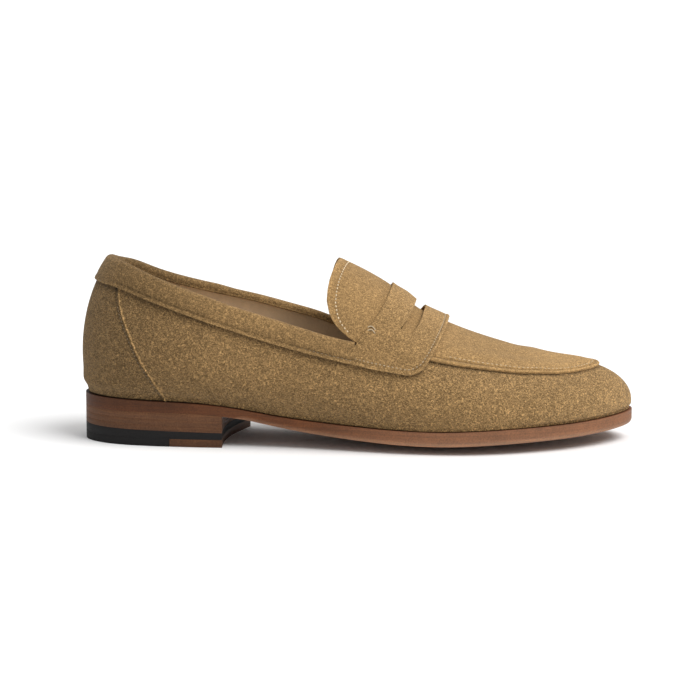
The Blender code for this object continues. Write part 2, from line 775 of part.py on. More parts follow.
def sock_liner():
    return plate(*feather_outline(0.9), sock_rise, raised(sock_rise, SOCK), (0.0, 0.35, 0.7, 1.0))


def oblong(rear, front, half_width, middle_y, count=24):
    """Outline of a long pad with full round ends, and the line down its middle."""
    turn = np.linspace(0, 2 * PI, count, endpoint=False)
    blunt = 0.6
    along, across = np.cos(turn), np.sin(turn)
    x = (rear + front) / 2 + (front - rear) / 2 * np.sign(along) * abs(along) ** blunt
    y = middle_y + half_width * np.sign(across) * abs(across) ** blunt
    centre = np.stack([np.clip(x, rear + half_width, front - half_width), 0 * x + middle_y], -1)
    return np.stack([x, y], -1), centre


def heel_pad():
    low = raised(base_z, 2 * GAP + INSOLE)
    return plate(*oblong(-134, -70, 20, 0.5), low, raised(low, HEEL_PAD - GAP), (0.0, 1.0))


def shank():
    low = raised(sole_top, 2 * GAP)
    return plate(*oblong(-104, -20, 6.0, 0.5), low, raised(low, 1.2), (0.0, 1.0))


def cork_filler():
    """The filler between the margins, cut straight across at its rear end."""
    outline, centre = feather_outline(MARGIN_WIDTH + 1.5)
    ahead = station_x(ROUND[:-1]) > CORK_REAR_X
    x = np.maximum(centre[ahead, 0], CORK_REAR_X + 8)
    centre = np.stack([x, spine_y(x)], -1)
    high = raised(sole_top, FEATHER_RISE - GAP)
    return plate(outline[ahead], centre, raised(sole_top, GAP), high)


# ---------------------------------------------------------------- heel
def slanted(outline):
    """The front of the heel leans forward on the medial side."""
    near_front = ramp((outline[:, 0] + 98) / 30)
    outline[:, 0] += HEEL_FRONT_SLANT * outline[:, 1] / HEEL_HALF_WIDTH * near_front
    return outline


def heel_side(start_x, end_x, count, side):
    a = np.linspace(station(start_x, side), station(end_x, side), count)
    return feather(a, -SOLE_OVERHANG)[:, :2]


def heel_back(front_x, count):
    """The heel's edge round the back, from front_x on the medial side to the lateral side."""
    a = np.linspace(station(front_x, 1) - 2 * PI, station(front_x, -1), count)
    return feather(a, -SOLE_OVERHANG)[:, :2]


def breast(start, end, count=9):
    """The hollow front face of the heel, without its two corners."""
    share = np.linspace(0, 1, count + 2)[1:-1, None]
    line = between(start, end, share)
    line[:, 0] -= HEEL_FRONT_HOLLOW * np.sin(PI * share[:, 0])
    return line


def whole_heel():
    back = heel_back(HEEL_FRONT_X, 27)
    outline = slanted(np.vstack([back, breast(back[-1], back[0])]))
    return outline, middle_point(outline, -100)


def rear_heel():
    outline = heel_back(HEEL_SPLIT_X - GAP / 2, 19)
    return outline, middle_point(outline, -118)


def front_heel():
    lateral = heel_side(HEEL_SPLIT_X + GAP / 2, HEEL_FRONT_X, 5, -1)
    medial = heel_side(HEEL_FRONT_X, HEEL_SPLIT_X + GAP / 2, 5, 1)
    outline = slanted(np.vstack([lateral, breast(lateral[-1], medial[0]), medial]))
    return outline, middle_point(outline, -87)


def middle_point(outline, x):
    return np.array([x, 0.5]) + 0 * outline


def level(z):
    return lambda x, y: z + 0 * x


def lift_seam(k):
    """Seam k between heel lifts: level across, a little lower at the front than at the back."""
    back, front = LIFT_SEAMS[k]
    return lambda x, y: between(back, front, (x - HEEL_X) / (HEEL_FRONT_X - HEEL_X))


def heel_lift(low, high):
    return plate(*whole_heel(), low, high, (0.0, 0.5, 1.0))


def drill(item, places):
    """Cut one blind hole from below for each brad."""
    for x, y in places:
        cutter = make_object("cutter", brad((x, y), BRAD_RADIUS + GAP, -2, BRAD_LENGTH + GAP), None)
        cut = item.modifiers.new("hole", "BOOLEAN")
        cut.operation = "DIFFERENCE"
        cut.object = cutter
        cutter.hide_render = True
        cutter.display_type = "WIRE"


def brad(place, radius, low, high):
    x, y = place
    turn = np.linspace(0, 2 * PI, 10, endpoint=False)
    outline = np.stack([x + radius * np.cos(turn), y + radius * np.sin(turn)], -1)
    centre = np.stack([x + 0 * turn, y + 0 * turn], -1)
    return plate(outline, centre, level(low), level(high), (0.0, 1.0))


# ---------------------------------------------------------------- the scene
def tongue_axis_point():
    """Where the tongue bends: on its outer face at the ridge, just behind the strap."""
    x = float(tongue_split_x(1.0))
    return on_last(station(x, -1), 1.0, WALL_IN + LEATHER)


def add_materials():
    return {
        "suede": add_material("suede", (0.34, 0.22, 0.105), 0.95),
        "suede_light": add_material("suede_light", (0.44, 0.30, 0.15), 0.95),
        "thread": add_material("thread", (0.62, 0.47, 0.28), 0.8),
        "lining": add_material("lining", (0.36, 0.22, 0.11), 0.6),
        "sole": add_material("sole", (0.24, 0.12, 0.06), 0.45),
        "lift": add_material("lift", (0.16, 0.075, 0.035), 0.5),
        "rubber": add_material("rubber", (0.018, 0.017, 0.016), 0.75),
        "board": add_material("board", (0.42, 0.28, 0.15), 0.85),
        "cork": add_material("cork", (0.30, 0.17, 0.08), 0.95),
        "foam": add_material("foam", (0.75, 0.72, 0.66), 0.95),
        "steel": add_material("steel", (0.55, 0.55, 0.56), 0.35, 1.0),
        "brass": add_material("brass", (0.62, 0.42, 0.16), 0.35, 1.0),
    }


def clear_scene():
    for item in list(bpy.data.objects):
        bpy.data.objects.remove(item, do_unlink=True)


def build_bottom(materials):
    make_object("outsole", outsole(), materials["sole"])
    seat = raised(sole_low, -GAP)
    lows = [raised(lift_seam(k), GAP) for k in range(3)]
    highs = [lift_seam(1), lift_seam(2), seat]
    for name, low, high in zip(("lower", "middle", "upper"), lows, highs):
        make_object("heel_lift_" + name, heel_lift(low, high), materials["lift"])
    make_object("rubber_lift", heel_lift(level(TOP_PIECE + GAP), lift_seam(0)), materials["rubber"])
    rear = plate(*rear_heel(), level(0), level(TOP_PIECE), (0.0, 1.0))
    front = plate(*front_heel(), level(0), level(TOP_PIECE), (0.0, 1.0))
    rear_item = make_object("rubber_top_piece", rear, materials["rubber"])
    front_item = make_object("leather_top_piece", front, materials["lift"])
    drill(rear_item, [place for place in BRAD_PLACES if place[0] < HEEL_SPLIT_X])
    drill(front_item, [place for place in BRAD_PLACES if place[0] > HEEL_SPLIT_X])
    for k, place in enumerate(BRAD_PLACES):
        body = brad(place, BRAD_RADIUS, 0.05, BRAD_LENGTH)
        make_object("top_brad_" + str(k + 1), body, materials["brass"])
    make_object("insole", insole(), materials["board"])
    make_object("sock_liner", sock_liner(), materials["lining"])
    make_object("heel_pad", heel_pad(), materials["foam"])
    make_object("shank", shank(), materials["steel"])
    make_object("cork_filler", cork_filler(), materials["cork"])


def build_upper(materials):
    make_object("vamp_wall", vamp_wall(), materials["suede"])
    make_object("heel_cover", heel_cover(), materials["suede"])
    make_object("apron", apron(), materials["suede_light"])
    make_object("saddle_collar", saddle_collar(), materials["suede_light"])
    make_object("tongue_base", tongue_base(), materials["suede_light"])
    make_object("vamp_lining", vamp_lining(), materials["lining"])
    make_object("quarter_lining_lateral", quarter_lining(-1), materials["lining"])
    make_object("quarter_lining_medial", quarter_lining(1), materials["lining"])
    make_object("heel_grip_lining", heel_grip_lining(), materials["lining"])
    make_object("counter_stiffener", counter_stiffener(), materials["board"])
    make_object("toe_puff", toe_puff(), materials["board"])
    make_object("apron_thread", apron_thread(), materials["thread"])
    make_object("collar_thread", collar_thread(), materials["thread"])
    make_object("saddle_thread", saddle_thread(), materials["thread"])
    make_object("counter_thread_lateral", counter_thread(-1), materials["thread"])
    make_object("counter_thread_medial", counter_thread(1), materials["thread"])
    make_object("saddle_tack_lateral", saddle_tack(-1), materials["thread"])
    make_object("saddle_tack_medial", saddle_tack(1), materials["thread"])


def build_tongue(materials):
    axis = tongue_axis_point()
    make_object("tongue_flap", tongue_flap(), materials["suede_light"], axis)
    make_object("tongue_lining", tongue_lining(), materials["lining"], axis)
    make_object("tongue_thread", tongue_thread(), materials["thread"], axis)


def main():
    clear_scene()
    materials = add_materials()
    build_bottom(materials)
    build_upper(materials)
    build_tongue(materials)


if __name__ == "__main__":
    main()
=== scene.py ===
"""A suede penny loafer in a plain studio, as a Blender add-on that can be run as a script.

The shoe is a right shoe: +X runs from heel to toe, +Y is the medial side and +Z is up. The
shapes are worked out in millimetres and scaled to metres when a mesh is made.

Every leather piece lies on one last. A point on the last has a station `a`, which runs once
round the foot (0 at the back of the heel, pi at the toe, lateral side first), and a height `v`
(0 at the feather edge, EQUATOR_V at the widest line, 1 on the ridge above the foot, below 0 on
the lasting margin under the foot). Its depth `d` is the distance out from the last.
"""

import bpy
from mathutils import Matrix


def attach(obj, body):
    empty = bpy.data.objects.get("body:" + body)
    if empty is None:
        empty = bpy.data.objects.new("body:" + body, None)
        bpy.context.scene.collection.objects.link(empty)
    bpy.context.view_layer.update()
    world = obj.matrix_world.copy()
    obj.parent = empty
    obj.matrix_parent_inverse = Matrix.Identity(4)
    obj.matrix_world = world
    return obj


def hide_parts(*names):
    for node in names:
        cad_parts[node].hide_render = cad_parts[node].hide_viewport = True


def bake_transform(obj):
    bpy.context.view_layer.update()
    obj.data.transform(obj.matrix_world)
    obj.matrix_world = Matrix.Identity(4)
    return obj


bl_info = {
    "name": "Penny Loafer",
    "version": (1, 0, 0),
    "blender": (4, 5, 0),
    "location": "3D View > Sidebar > Loafer",
    "description": "Builds a suede penny loafer with a stacked heel and its studio",
    "category": "Object",
}

import bpy
import numpy as np
from mathutils import Vector

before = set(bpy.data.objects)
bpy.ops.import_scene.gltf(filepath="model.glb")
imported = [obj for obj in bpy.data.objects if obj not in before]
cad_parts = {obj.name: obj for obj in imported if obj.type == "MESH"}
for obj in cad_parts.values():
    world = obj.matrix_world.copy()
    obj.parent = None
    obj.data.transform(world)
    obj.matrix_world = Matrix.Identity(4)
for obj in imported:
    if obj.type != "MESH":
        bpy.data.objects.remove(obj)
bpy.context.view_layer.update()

TO_METRES = 0.001
PI = np.pi

# ---------------------------------------------------------------- driving dimensions
HEEL_X = -145.2
TOE_X = 143.8
MIDDLE_X = (HEEL_X + TOE_X) / 2
HALF_LENGTH = (TOE_X - HEEL_X) / 2
BOX_CENTRE = np.array([-0.50, -0.28, 0.0])
EQUATOR_V = 0.2
# Length of the last's side from v = 0 to v = 1, to turn heights into distances near a seam.
SIDE_HEIGHT = 68.0

LEATHER = 1.2
LINING = 0.8
STIFFENER = 0.8
GAP = 0.35
WALL_IN = LINING + GAP
LAP = LEATHER + GAP
FEATHER_RISE = LINING + LEATHER + 2 * GAP
MARGIN_WIDTH = 9.0
INSOLE = 2.4
SOCK = 1.0
HEEL_PAD = 2.5

# Gap at the counter seams, rounding of cut edges, and how far inside its edge each row is sewn.
SEAM_GAP = 0.06
EDGE_ROUNDING = 0.3
SEWN_IN = 2.1
APRON_STITCH_IN = 3.5
TONGUE_STITCH_IN = 4.6
COUNTER_STITCH_IN = 1.3
SIDES = ((-1, "lateral"), (1, "medial"))

SOLE_OVERHANG = 4.0
SOLE_BEVEL = 1.2
HEEL_FRONT_X = -65.6
HEEL_FRONT_SLANT = 5.5
HEEL_FRONT_HOLLOW = 4.0
HEEL_HALF_WIDTH = 31.0
TOP_PIECE = 4.2
HEEL_SPLIT_X = -99.5
SPLIT_GAP = 0.08
LIFT_SEAMS = ((9.0, 7.8), (12.1, 10.8), (15.2, 13.9))

# Widest line of the last: x, lateral y, medial y, then how far the feather edge sits inside it.
LAST_PLAN = (
    (-139.8, -14.0, 15.0, 2.6, 2.6),
    (-127.0, -23.7, 25.2, 3.9, 3.9),
    (-108.0, -29.5, 31.0, 5.2, 5.2),
    (-85.0, -32.2, 33.0, 5.6, 5.8),
    (-58.0, -34.0, 32.5, 6.2, 7.4),
    (-30.0, -37.0, 31.0, 6.6, 8.6),
    (0.0, -42.0, 33.0, 5.0, 7.2),
    (30.0, -46.6, 39.5, 3.2, 4.4),
    (55.0, -47.8, 45.5, 2.4, 2.8),
    (78.0, -44.3, 47.5, 2.0, 2.4),
    (100.0, -35.8, 44.5, 1.7, 1.9),
    (118.0, -25.5, 37.5, 1.4, 1.5),
    (132.0, -13.5, 28.5, 0.8, 0.8),
    (140.0, -3.5, 20.0, 0.4, 0.4),
)
HEEL_BACK = (0.5, 2.0)
TOE_TIP = (8.0, 0.1)

EQUATOR_Z = ((-145, 47), (-100, 45), (-50, 40), (0, 32), (40, 26), (80, 22.5), (144, 21))
RIDGE_Z = (
    (-145, 113.5), (-100, 115.5), (-70, 114), (-40, 107), (-25, 102), (-10, 95.0), (0, 90.1),
    (9, 85.1), (18, 79.0), (30, 68.9), (40, 63.6), (49, 59.6), (67, 52.8), (85, 47.1),
    (103, 41.8), (121, 40.3), (144, 40.6),
)
SPINE_Y = ((-99, 0.5), (-40, 1.0), (20, 4.0), (60, 5.5), (103, 7.4))

# Underside of the sole along its centre line, its thickness, and how far its edges rise.
SOLE_LOW_Z = (
    (-146, 18.4), (-105, 18.0), (-71, 16.7), (-41, 10.4), (-8, 4.7), (25, 0.95), (50, 0.06),
    (85, 1.85), (121, 5.3), (148, 9.0),
)
SOLE_THICK = ((-146, 6.8), (-100, 6.0), (-71, 5.2), (-25, 6.6), (25, 7.7), (90, 7.7), (148, 7.5))
SOLE_EDGE_RISE = ((-75, 0.0), (-41, 2.0), (-8, 3.2), (25, 3.6), (148, 3.6))

# Seams, by station x unless a comment says otherwise.
TOPLINE_Z = (
    (-145, 94.8), (-135, 93.8), (-120, 90.2), (-100, 84.0), (-82, 78.3), (-53.5, 69.8),
    (-25, 61.6), (-10, 57.6), (0, 55.6),
)
MEDIAL_DROP = (
    (-145, 2.4), (-130, 2.6), (-112, 3.7), (-95, 3.2), (-75, 1.4), (-55, -0.3), (-35, -0.9),
    (-20, -0.7), (-8, 1.1), (0, 2.4),
)
COLLAR_LOW_Z = (
    (-145, 84.6), (-130, 83.0), (-118, 79.8), (-92, 71.6), (-53.5, 59.6), (-15, 49.8), (0, 46.6),
)
APRON_V = (
    (26, 0.49), (41, 0.505), (58, 0.530), (76, 0.558), (94, 0.587), (112, 0.618), (144, 0.655),
)


# ---------------------------------------------------------------- curves
def smooth_curve(knots):
    """A natural cubic spline through (x, y) knots, held level past both ends."""
    x, y = np.array(knots, float).T
    step = np.diff(x)
    count = len(x)
    matrix, right = np.eye(count), np.zeros(count)
    for i in range(1, count - 1):
        matrix[i, i - 1 : i + 2] = step[i - 1], 2 * (step[i - 1] + step[i]), step[i]
        right[i] = 6 * ((y[i + 1] - y[i]) / step[i] - (y[i] - y[i - 1]) / step[i - 1])
    bend = np.linalg.solve(matrix, right)

    def at(t):
        t = np.clip(np.asarray(t, float), x[0], x[-1])
        i = np.clip(np.searchsorted(x, t) - 1, 0, count - 2)
        h, left, rest = step[i], t - x[i], x[i + 1] - t
        return (
            (bend[i] * rest**3 + bend[i + 1] * left**3) / (6 * h)
            + (y[i] / h - bend[i] * h / 6) * rest
            + (y[i + 1] / h - bend[i + 1] * h / 6) * left
        )

    return at


def ramp(t):
    """0 below 0, 1 above 1, smooth in between."""
    t = np.clip(t, 0, 1)
    return t * t * (3 - 2 * t)


def station(x, side):
    """The station whose widest point is at x, on the lateral (-1) or medial (+1) side."""
    a = np.arccos(np.clip((MIDDLE_X - np.asarray(x, float)) / HALF_LENGTH, -1, 1))
    return np.where(np.asarray(side) < 0, a, 2 * PI - a)


def station_x(a):
    """Where station a's widest point is, along the foot."""
    return MIDDLE_X - HALF_LENGTH * np.cos(a)


def closed_curve(column):
    """A curve that repeats round the foot, from one column of LAST_PLAN on each side."""
    heel, toe = HEEL_BACK[column > 2], TOE_TIP[column > 2]
    lateral, medial = (1, 2) if column < 3 else (3, 4)
    knots = [(0.0, heel)]
    knots += [(float(station(row[0], -1)), row[lateral]) for row in LAST_PLAN]
    knots += [(PI, toe)]
    knots += [(float(station(row[0], 1)), row[medial]) for row in reversed(LAST_PLAN)]
    wrapped = [(a + turn, value) for turn in (-2 * PI, 0, 2 * PI) for a, value in knots]
    curve = smooth_curve(wrapped)
    return lambda a: curve(np.mod(a, 2 * PI))


plan_y = closed_curve(1)
feather_inset = closed_curve(3)
equator_z = smooth_curve(EQUATOR_Z)
ridge_z = smooth_curve(RIDGE_Z)
spine_y = smooth_curve(SPINE_Y)
sole_low_z = smooth_curve(SOLE_LOW_Z)
sole_thick = smooth_curve(SOLE_THICK)
sole_edge_rise = smooth_curve(SOLE_EDGE_RISE)
topline_z = smooth_curve(TOPLINE_Z)
collar_low_z = smooth_curve(COLLAR_LOW_Z)
medial_drop = smooth_curve(MEDIAL_DROP)
apron_v = smooth_curve(APRON_V)

FAN_FRONT = (50.0, 132.0)
FAN_REAR = (-40.0, -132.0)


def spine_x(x):
    """Where a station's line meets the spine: straight across amidships, fanned at both ends."""
    front = np.clip((x - FAN_FRONT[0]) / (FAN_FRONT[1] - FAN_FRONT[0]), 0, 1)
    rear = np.clip((x - FAN_REAR[0]) / (FAN_REAR[1] - FAN_REAR[0]), 0, 1)
    reach = 2 / PI
    return (
        np.clip(x, FAN_REAR[0], FAN_FRONT[0])
        + (FAN_FRONT[1] - FAN_FRONT[0]) * reach * np.sin(PI / 2 * front)
        + (FAN_REAR[1] - FAN_REAR[0]) * reach * np.sin(PI / 2 * rear)
    )


def plan(a):
    """Widest line of the last at station a, and its outward direction, both in plan."""
    tiny = 1e-4
    dx = HALF_LENGTH * np.sin(a)
    dy = (plan_y(a + tiny) - plan_y(a - tiny)) / (2 * tiny)
    size = np.hypot(dx, dy)
    return np.stack([station_x(a), plan_y(a)], -1), np.stack([dy / size, -dx / size], -1)


def sole_low(x, y):
    """Underside of the sole: a rocker along its length, and edges that rise from the middle."""
    return sole_low_z(x) + sole_edge_rise(x) * ((y - spine_y(x)) / 48) ** 2


def sole_top(x, y):
    """Upper face of the sole."""
    return sole_low(x, y) + sole_thick(x)


def base_z(x, y):
    """The base of the last, which the insole's underside follows."""
    return sole_top(x, y) + FEATHER_RISE


def feather(a, inwards=0.0):
    """The feather edge at station a, moved inwards in plan, at the height of the last's base."""
    edge, out = plan(a)
    xy = edge - out * (feather_inset(a) + inwards)[..., None]
    return np.concatenate([xy, base_z(xy[..., 0], xy[..., 1])[..., None]], -1)


def last_point(a, v):
    """A point of the last: a curve out from the feather edge to the widest line, then a quarter
    ellipse over to the spine."""
    a, v = np.broadcast_arrays(np.asarray(a, float), np.asarray(v, float))
    edge, out = plan(a)
    low = feather(a)
    waist_z = equator_z(station_x(a))
    rise = np.clip(v / EQUATOR_V, 0, 1)
    turn = PI / 2 * np.clip((v - EQUATOR_V) / (1 - EQUATOR_V), 0, 1)
    target_x = spine_x(station_x(a))
    target = np.stack([target_x, spine_y(target_x)], -1)
    side = edge - out * (feather_inset(a) * (1 - np.sin(PI / 2 * rise)))[..., None]
    xy = side + (target - edge) * (1 - np.cos(turn))[..., None]
    low_z = low[..., 2] + (waist_z - low[..., 2]) * rise
    z = low_z + (ridge_z(xy[..., 0]) - waist_z) * np.sin(turn)
    return np.concatenate([xy, z[..., None]], -1)


def unit(vectors):
    """The vectors, each made 1 long."""
    return vectors / np.linalg.norm(vectors, axis=-1, keepdims=True)


def last_normal(a, v):
    """Outward direction of the last. Across the ridge it is the ridge's own, so halves meet."""
    tiny = 1e-4
    a, v = np.broadcast_arrays(np.asarray(a, float), np.asarray(v, float))
    held = np.clip(v, 2 * tiny, 0.97)
    along = last_point(a + tiny, held) - last_point(a - tiny, held)
    up = last_point(a, held + tiny) - last_point(a, held - tiny)
    normal = unit(np.cross(along, up))
    x = last_point(a, v)[..., 0]
    slope = (ridge_z(x + 0.5) - ridge_z(x - 0.5)) / 1.0
    crest = unit(np.stack([-slope, 0 * slope, 0 * slope + 1], -1))
    share = ramp((v - 0.88) / 0.12)[..., None]
    return unit(normal * (1 - share) + crest * share)


def on_last(a, v, d):
    """The point at station a, height v and depth d. Below v = 0 it runs under the foot."""
    a, v, d = np.broadcast_arrays(*(np.asarray(k, float) for k in (a, v, d)))
    side = last_point(a, v) + last_normal(a, v) * d[..., None]
    out = plan(a)[1]
    corner_xy = feather(a)[..., :2] + out * d[..., None]
    corner_z = base_z(corner_xy[..., 0], corner_xy[..., 1]) - d
    corner = np.concatenate([corner_xy, corner_z[..., None]], -1)
    under = feather(a, np.maximum(-v, 0) * MARGIN_WIDTH)
    under = under - np.array([0, 0, 1.0]) * d[..., None]
    point = np.where((v < 0)[..., None], under, side)
    return np.where((v == 0)[..., None], corner, point)


def height_at(a, z):
    """The v at which station a reaches the height z."""
    a, z = np.broadcast_arrays(np.asarray(a, float), np.asarray(z, float))
    rows = np.linspace(EQUATOR_V, 1, 81)
    levels = last_point(a[..., None], rows)[..., 2]
    flat = [np.interp(zi, level, rows) for zi, level in zip(z.ravel(), levels.reshape(-1, 81))]
    return np.array(flat).reshape(a.shape)


# ---------------------------------------------------------------- seams of the upper
STIFFENED_HEEL_X = (-66.0, -80.0)
STIFFENED_TOE_X = (84.0, 98.0)
COLLAR_END_X = 0.0
SADDLE_LOW_V = ((0, 0.330), (13, 0.338), (24, 0.356), (31, 0.382), (36, 0.430))
SADDLE_FRONT_X = ((0.430, 36.0), (0.495, 38.8), (0.571, 41.0), (0.775, 45.1), (1.0, 46.8))
SADDLE_REAR_X = ((0.412, 0.0), (0.568, 8.8), (0.694, 13.0), (1.0, 16.2))
SLOT_LOW_V = 0.6
APRON_REAR_X = 26.0
APRON_LAP_V = 0.09
TOP_EDGE_V = 0.007
LINING_EDGE_V = 0.0014
COUNTER_SEAM_X = (
    (0, -102.5), (0.1, -107.3), (0.21, -114.2), (0.32, -121.2), (0.43, -127.5), (0.55, -131),
)
LINING_JOINT_X = -5.0
HEEL_GRIP_X = -100.0
STRAP_RISE = (0.7, 1.9)

saddle_low_v = smooth_curve(SADDLE_LOW_V)
saddle_front_x = smooth_curve(SADDLE_FRONT_X)
saddle_rear_x = smooth_curve(SADDLE_REAR_X)
counter_seam_x = smooth_curve(COUNTER_SEAM_X)


def between(low, high, share):
    """The value a share of the way from low to high."""
    return low + (high - low) * share


def wall_in(a, v):
    """Depth of the inner face of the outer leather: it stands off over the two stiffeners."""
    x = station_x(a)
    heel = ramp((x - STIFFENED_HEEL_X[0]) / (STIFFENED_HEEL_X[1] - STIFFENED_HEEL_X[0]))
    toe = ramp((x - STIFFENED_TOE_X[0]) / (STIFFENED_TOE_X[1] - STIFFENED_TOE_X[0]))
    return WALL_IN + (STIFFENER + GAP) * (heel + toe) * ramp(v / 0.06)


def over_wall(a, v):
    """Depth of a piece that laps over the outer leather."""
    return wall_in(a, v) + LAP


def saddle_in(a, v):
    """Depth of the saddle's inner face, which rises to clear the tongue, then the apron."""
    rise = between(*STRAP_RISE, ramp((station_x(a) - 17) / 7))
    return over_wall(a, v) + rise * ramp((v - 0.38) / 0.10)


def topline_v(a):
    """Height of the topline, which dips less at the waist on the medial side."""
    medial = ramp(-2.5 * np.sin(a))
    return height_at(a, topline_z(station_x(a)) - medial_drop(station_x(a)) * medial)


def collar_low_v(a):
    """Height of the collar's lower edge, which follows the topline on the medial side."""
    medial = ramp(-2.5 * np.sin(a))
    drop = (medial_drop(station_x(a)) - medial_drop(COLLAR_END_X)) * medial
    return height_at(a, collar_low_z(station_x(a)) - drop)


def wall_top_v(a):
    """Top edge of the outer leather: just under the collar's roll, then under the apron."""
    x = station_x(a)
    front = apron_v(x) + APRON_LAP_V
    share = ramp((x - COLLAR_END_X) / (APRON_REAR_X - COLLAR_END_X))
    return between(topline_v(a) - TOP_EDGE_V, front, share)


# ---------------------------------------------------------------- meshes
def grid_faces(rows, columns):
    """Four-cornered faces of a grid of points, row by row."""
    start = np.arange((rows - 1) * columns).reshape(rows - 1, columns)[:, :-1].ravel()
    return np.stack([start, start + 1, start + columns + 1, start + columns], -1)


def merge_points(points, faces, tones):
    """Points that coincide become one. Faces that lose a corner become triangles, kept apart."""
    _, first, new = np.unique(np.round(points, 3), axis=0, return_index=True, return_inverse=True)
    faces = new.ravel()[faces]
    same = faces == np.roll(faces, 1, axis=1)
    opposite = (faces[:, 0] == faces[:, 2]) | (faces[:, 1] == faces[:, 3])
    quads = faces[(same.sum(1) == 0) & ~opposite]
    bent = faces[(same.sum(1) == 1) & ~opposite]
    triangles = bent[~(bent == np.roll(bent, 1, axis=1))].reshape(-1, 3)
    return points[first], quads, triangles, tones[first]


def boundary_edges(groups):
    """Directed edges of the faces that no neighbour uses the other way."""
    edges = np.vstack([np.stack([f, np.roll(f, -1, axis=1)], -1).reshape(-1, 2) for f in groups])
    size = edges.max() + 1
    forward = edges[:, 0].astype(np.int64) * size + edges[:, 1]
    backward = edges[:, 1].astype(np.int64) * size + edges[:, 0]
    return edges[~np.isin(forward, backward)]


def thick_sheet(outer, inner, faces, tone):
    """A closed shell between an outer and an inner net of points, with a tone for each point."""
    both = np.hstack([np.reshape(outer, (-1, 3)), np.reshape(inner, (-1, 3))])
    both, quads, triangles, tone = merge_points(both, faces, np.ravel(tone))
    count = len(both)
    rim = boundary_edges([part for part in (quads, triangles) if len(part)])
    walls = np.stack([rim[:, 1], rim[:, 0], rim[:, 0] + count, rim[:, 1] + count], -1)
    quads = np.vstack([quads, quads[:, ::-1] + count, walls])
    triangles = np.vstack([triangles, triangles[:, ::-1] + count])
    points = np.vstack([both[:, :3], both[:, 3:]])
    return points, quads, triangles, np.concatenate([tone, tone])


def ring_body(centre, rings, tones):
    """A closed body from rings: each has an outline, its share of the way in to the centre
    line, and a surface that it lies on."""
    grid = []
    for outline, share, height in rings:
        xy = between(outline, centre, share)
        z = height(xy[:, 0], xy[:, 1]) + 0 * xy[:, 0]
        grid.append(np.concatenate([xy, z[:, None]], 1))
    grid = np.array(grid)
    grid = np.concatenate([grid, grid[:, :1]], 1)
    tone = np.array(tones)[:, None] + 0 * grid[..., 0]
    return merge_points(grid.reshape(-1, 3), grid_faces(*grid.shape[:2]), tone.ravel())


def bead_grid(path, normal, length, radius, rings=7, sides=7):
    """Short beads laid end to end: each is an ellipsoid stretched along the path's direction."""
    ahead = unit(np.gradient(path, axis=0))
    across = unit(np.cross(ahead, normal))
    up = np.cross(across, ahead)
    along = np.linspace(-1, 1, rings)
    turn = np.linspace(0, 2 * PI, sides + 1)
    girth = np.sqrt(np.clip(1 - along**4, 0, 1))
    centre = path[:, None] + ahead[:, None] * (along * length / 2)[None, :, None]
    centre = centre - up[:, None] * (radius * 0.9 * along**4)[None, :, None]
    ring = across[:, None, None] * np.cos(turn)[None, None, :, None]
    ring = ring + up[:, None, None] * np.sin(turn)[None, None, :, None]
    return centre[:, :, None] + ring * (girth * radius)[None, :, None, None]


def add_mesh(name, body, material, bevel=0.0):
    """A smooth-shaded object from points in millimetres, its faces turned outwards."""
    points, quads, triangles, tone = body
    points = (points - BOX_CENTRE) * TO_METRES
    sizes = np.concatenate([np.full(len(quads), 4), np.full(len(triangles), 3)])
    corners = np.concatenate([quads.ravel(), triangles.ravel()])
    mesh = bpy.data.meshes.new(name)
    mesh.vertices.add(len(points))
    mesh.vertices.foreach_set("co", points.ravel())
    mesh.loops.add(len(corners))
    mesh.loops.foreach_set("vertex_index", corners.astype(np.int32))
    mesh.polygons.add(len(sizes))
    starts = np.concatenate([[0], np.cumsum(sizes)[:-1]])
    mesh.polygons.foreach_set("loop_start", starts.astype(np.int32))
    mesh.update(calc_edges=True)
    if signed_volume(points, quads, triangles) < 0:
        mesh.flip_normals()
    mesh.attributes.new("tone", "FLOAT", "POINT").data.foreach_set("value", tone)
    mesh.materials.append(material)
    mesh.shade_smooth()
    mesh.set_sharp_from_angle(angle=np.radians(50))
    item = bpy.data.objects.new(name, mesh)
    bpy.context.scene.collection.objects.link(item)
    if bevel:
        soften(item, bevel)
    return item


def signed_volume(points, quads, triangles):
    """Volume inside the faces: positive when they face outwards."""
    fans = [triangles, quads[:, [0, 1, 2]], quads[:, [0, 2, 3]]]
    a, b, c = (points[np.concatenate([f[:, k] for f in fans])] for k in range(3))
    return float(np.einsum("ij,ij->", a, np.cross(b, c)) / 6)


def soften(item, width):
    """Round the sharp edges of a piece."""
    bevel = item.modifiers.new("soft edges", "BEVEL")
    bevel.width = width * TO_METRES
    bevel.segments = 2
    bevel.limit_method = "ANGLE"
    bevel.angle_limit = np.radians(50)
    bevel.harden_normals = False


def finish_piece(item, nodes):
    """A piece of the shoe itself: parent it to the shoe's body and hide the nodes it stands for."""
    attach(item, "shoe")
    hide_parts(*nodes)


# ---------------------------------------------------------------- seam profiles
def bump(distance, centre, width):
    """A smooth hump of height 1."""
    return np.exp(-(((distance - centre) / width) ** 2))


def edge_profile(distance, lip=0.35, groove=0.4):
    """Height of the leather near a sewn edge: a raised lip, then the groove of the stitches."""
    return lip * bump(distance, 0.8, 0.6) - groove * bump(distance, SEWN_IN, 0.5)


def edge_tone(distance):
    """Painted light near a sewn edge: a painted highlight on the raised lip and painted shade in the
    groove of the stitches.
    """
    return 0.2 * bump(distance, 0.4, 0.6) - 0.35 * bump(distance, SEWN_IN, 0.4)


def distance_to(points, line):
    """Distance from each point to the nearest point of a line."""
    shape = points.shape[:-1]
    flat = points.reshape(-1, 3)
    found = []
    for part in np.array_split(flat, 40):
        found.append(np.sqrt(((part[:, None] - line) ** 2).sum(-1).min(1)))
    return np.concatenate(found).reshape(shape)


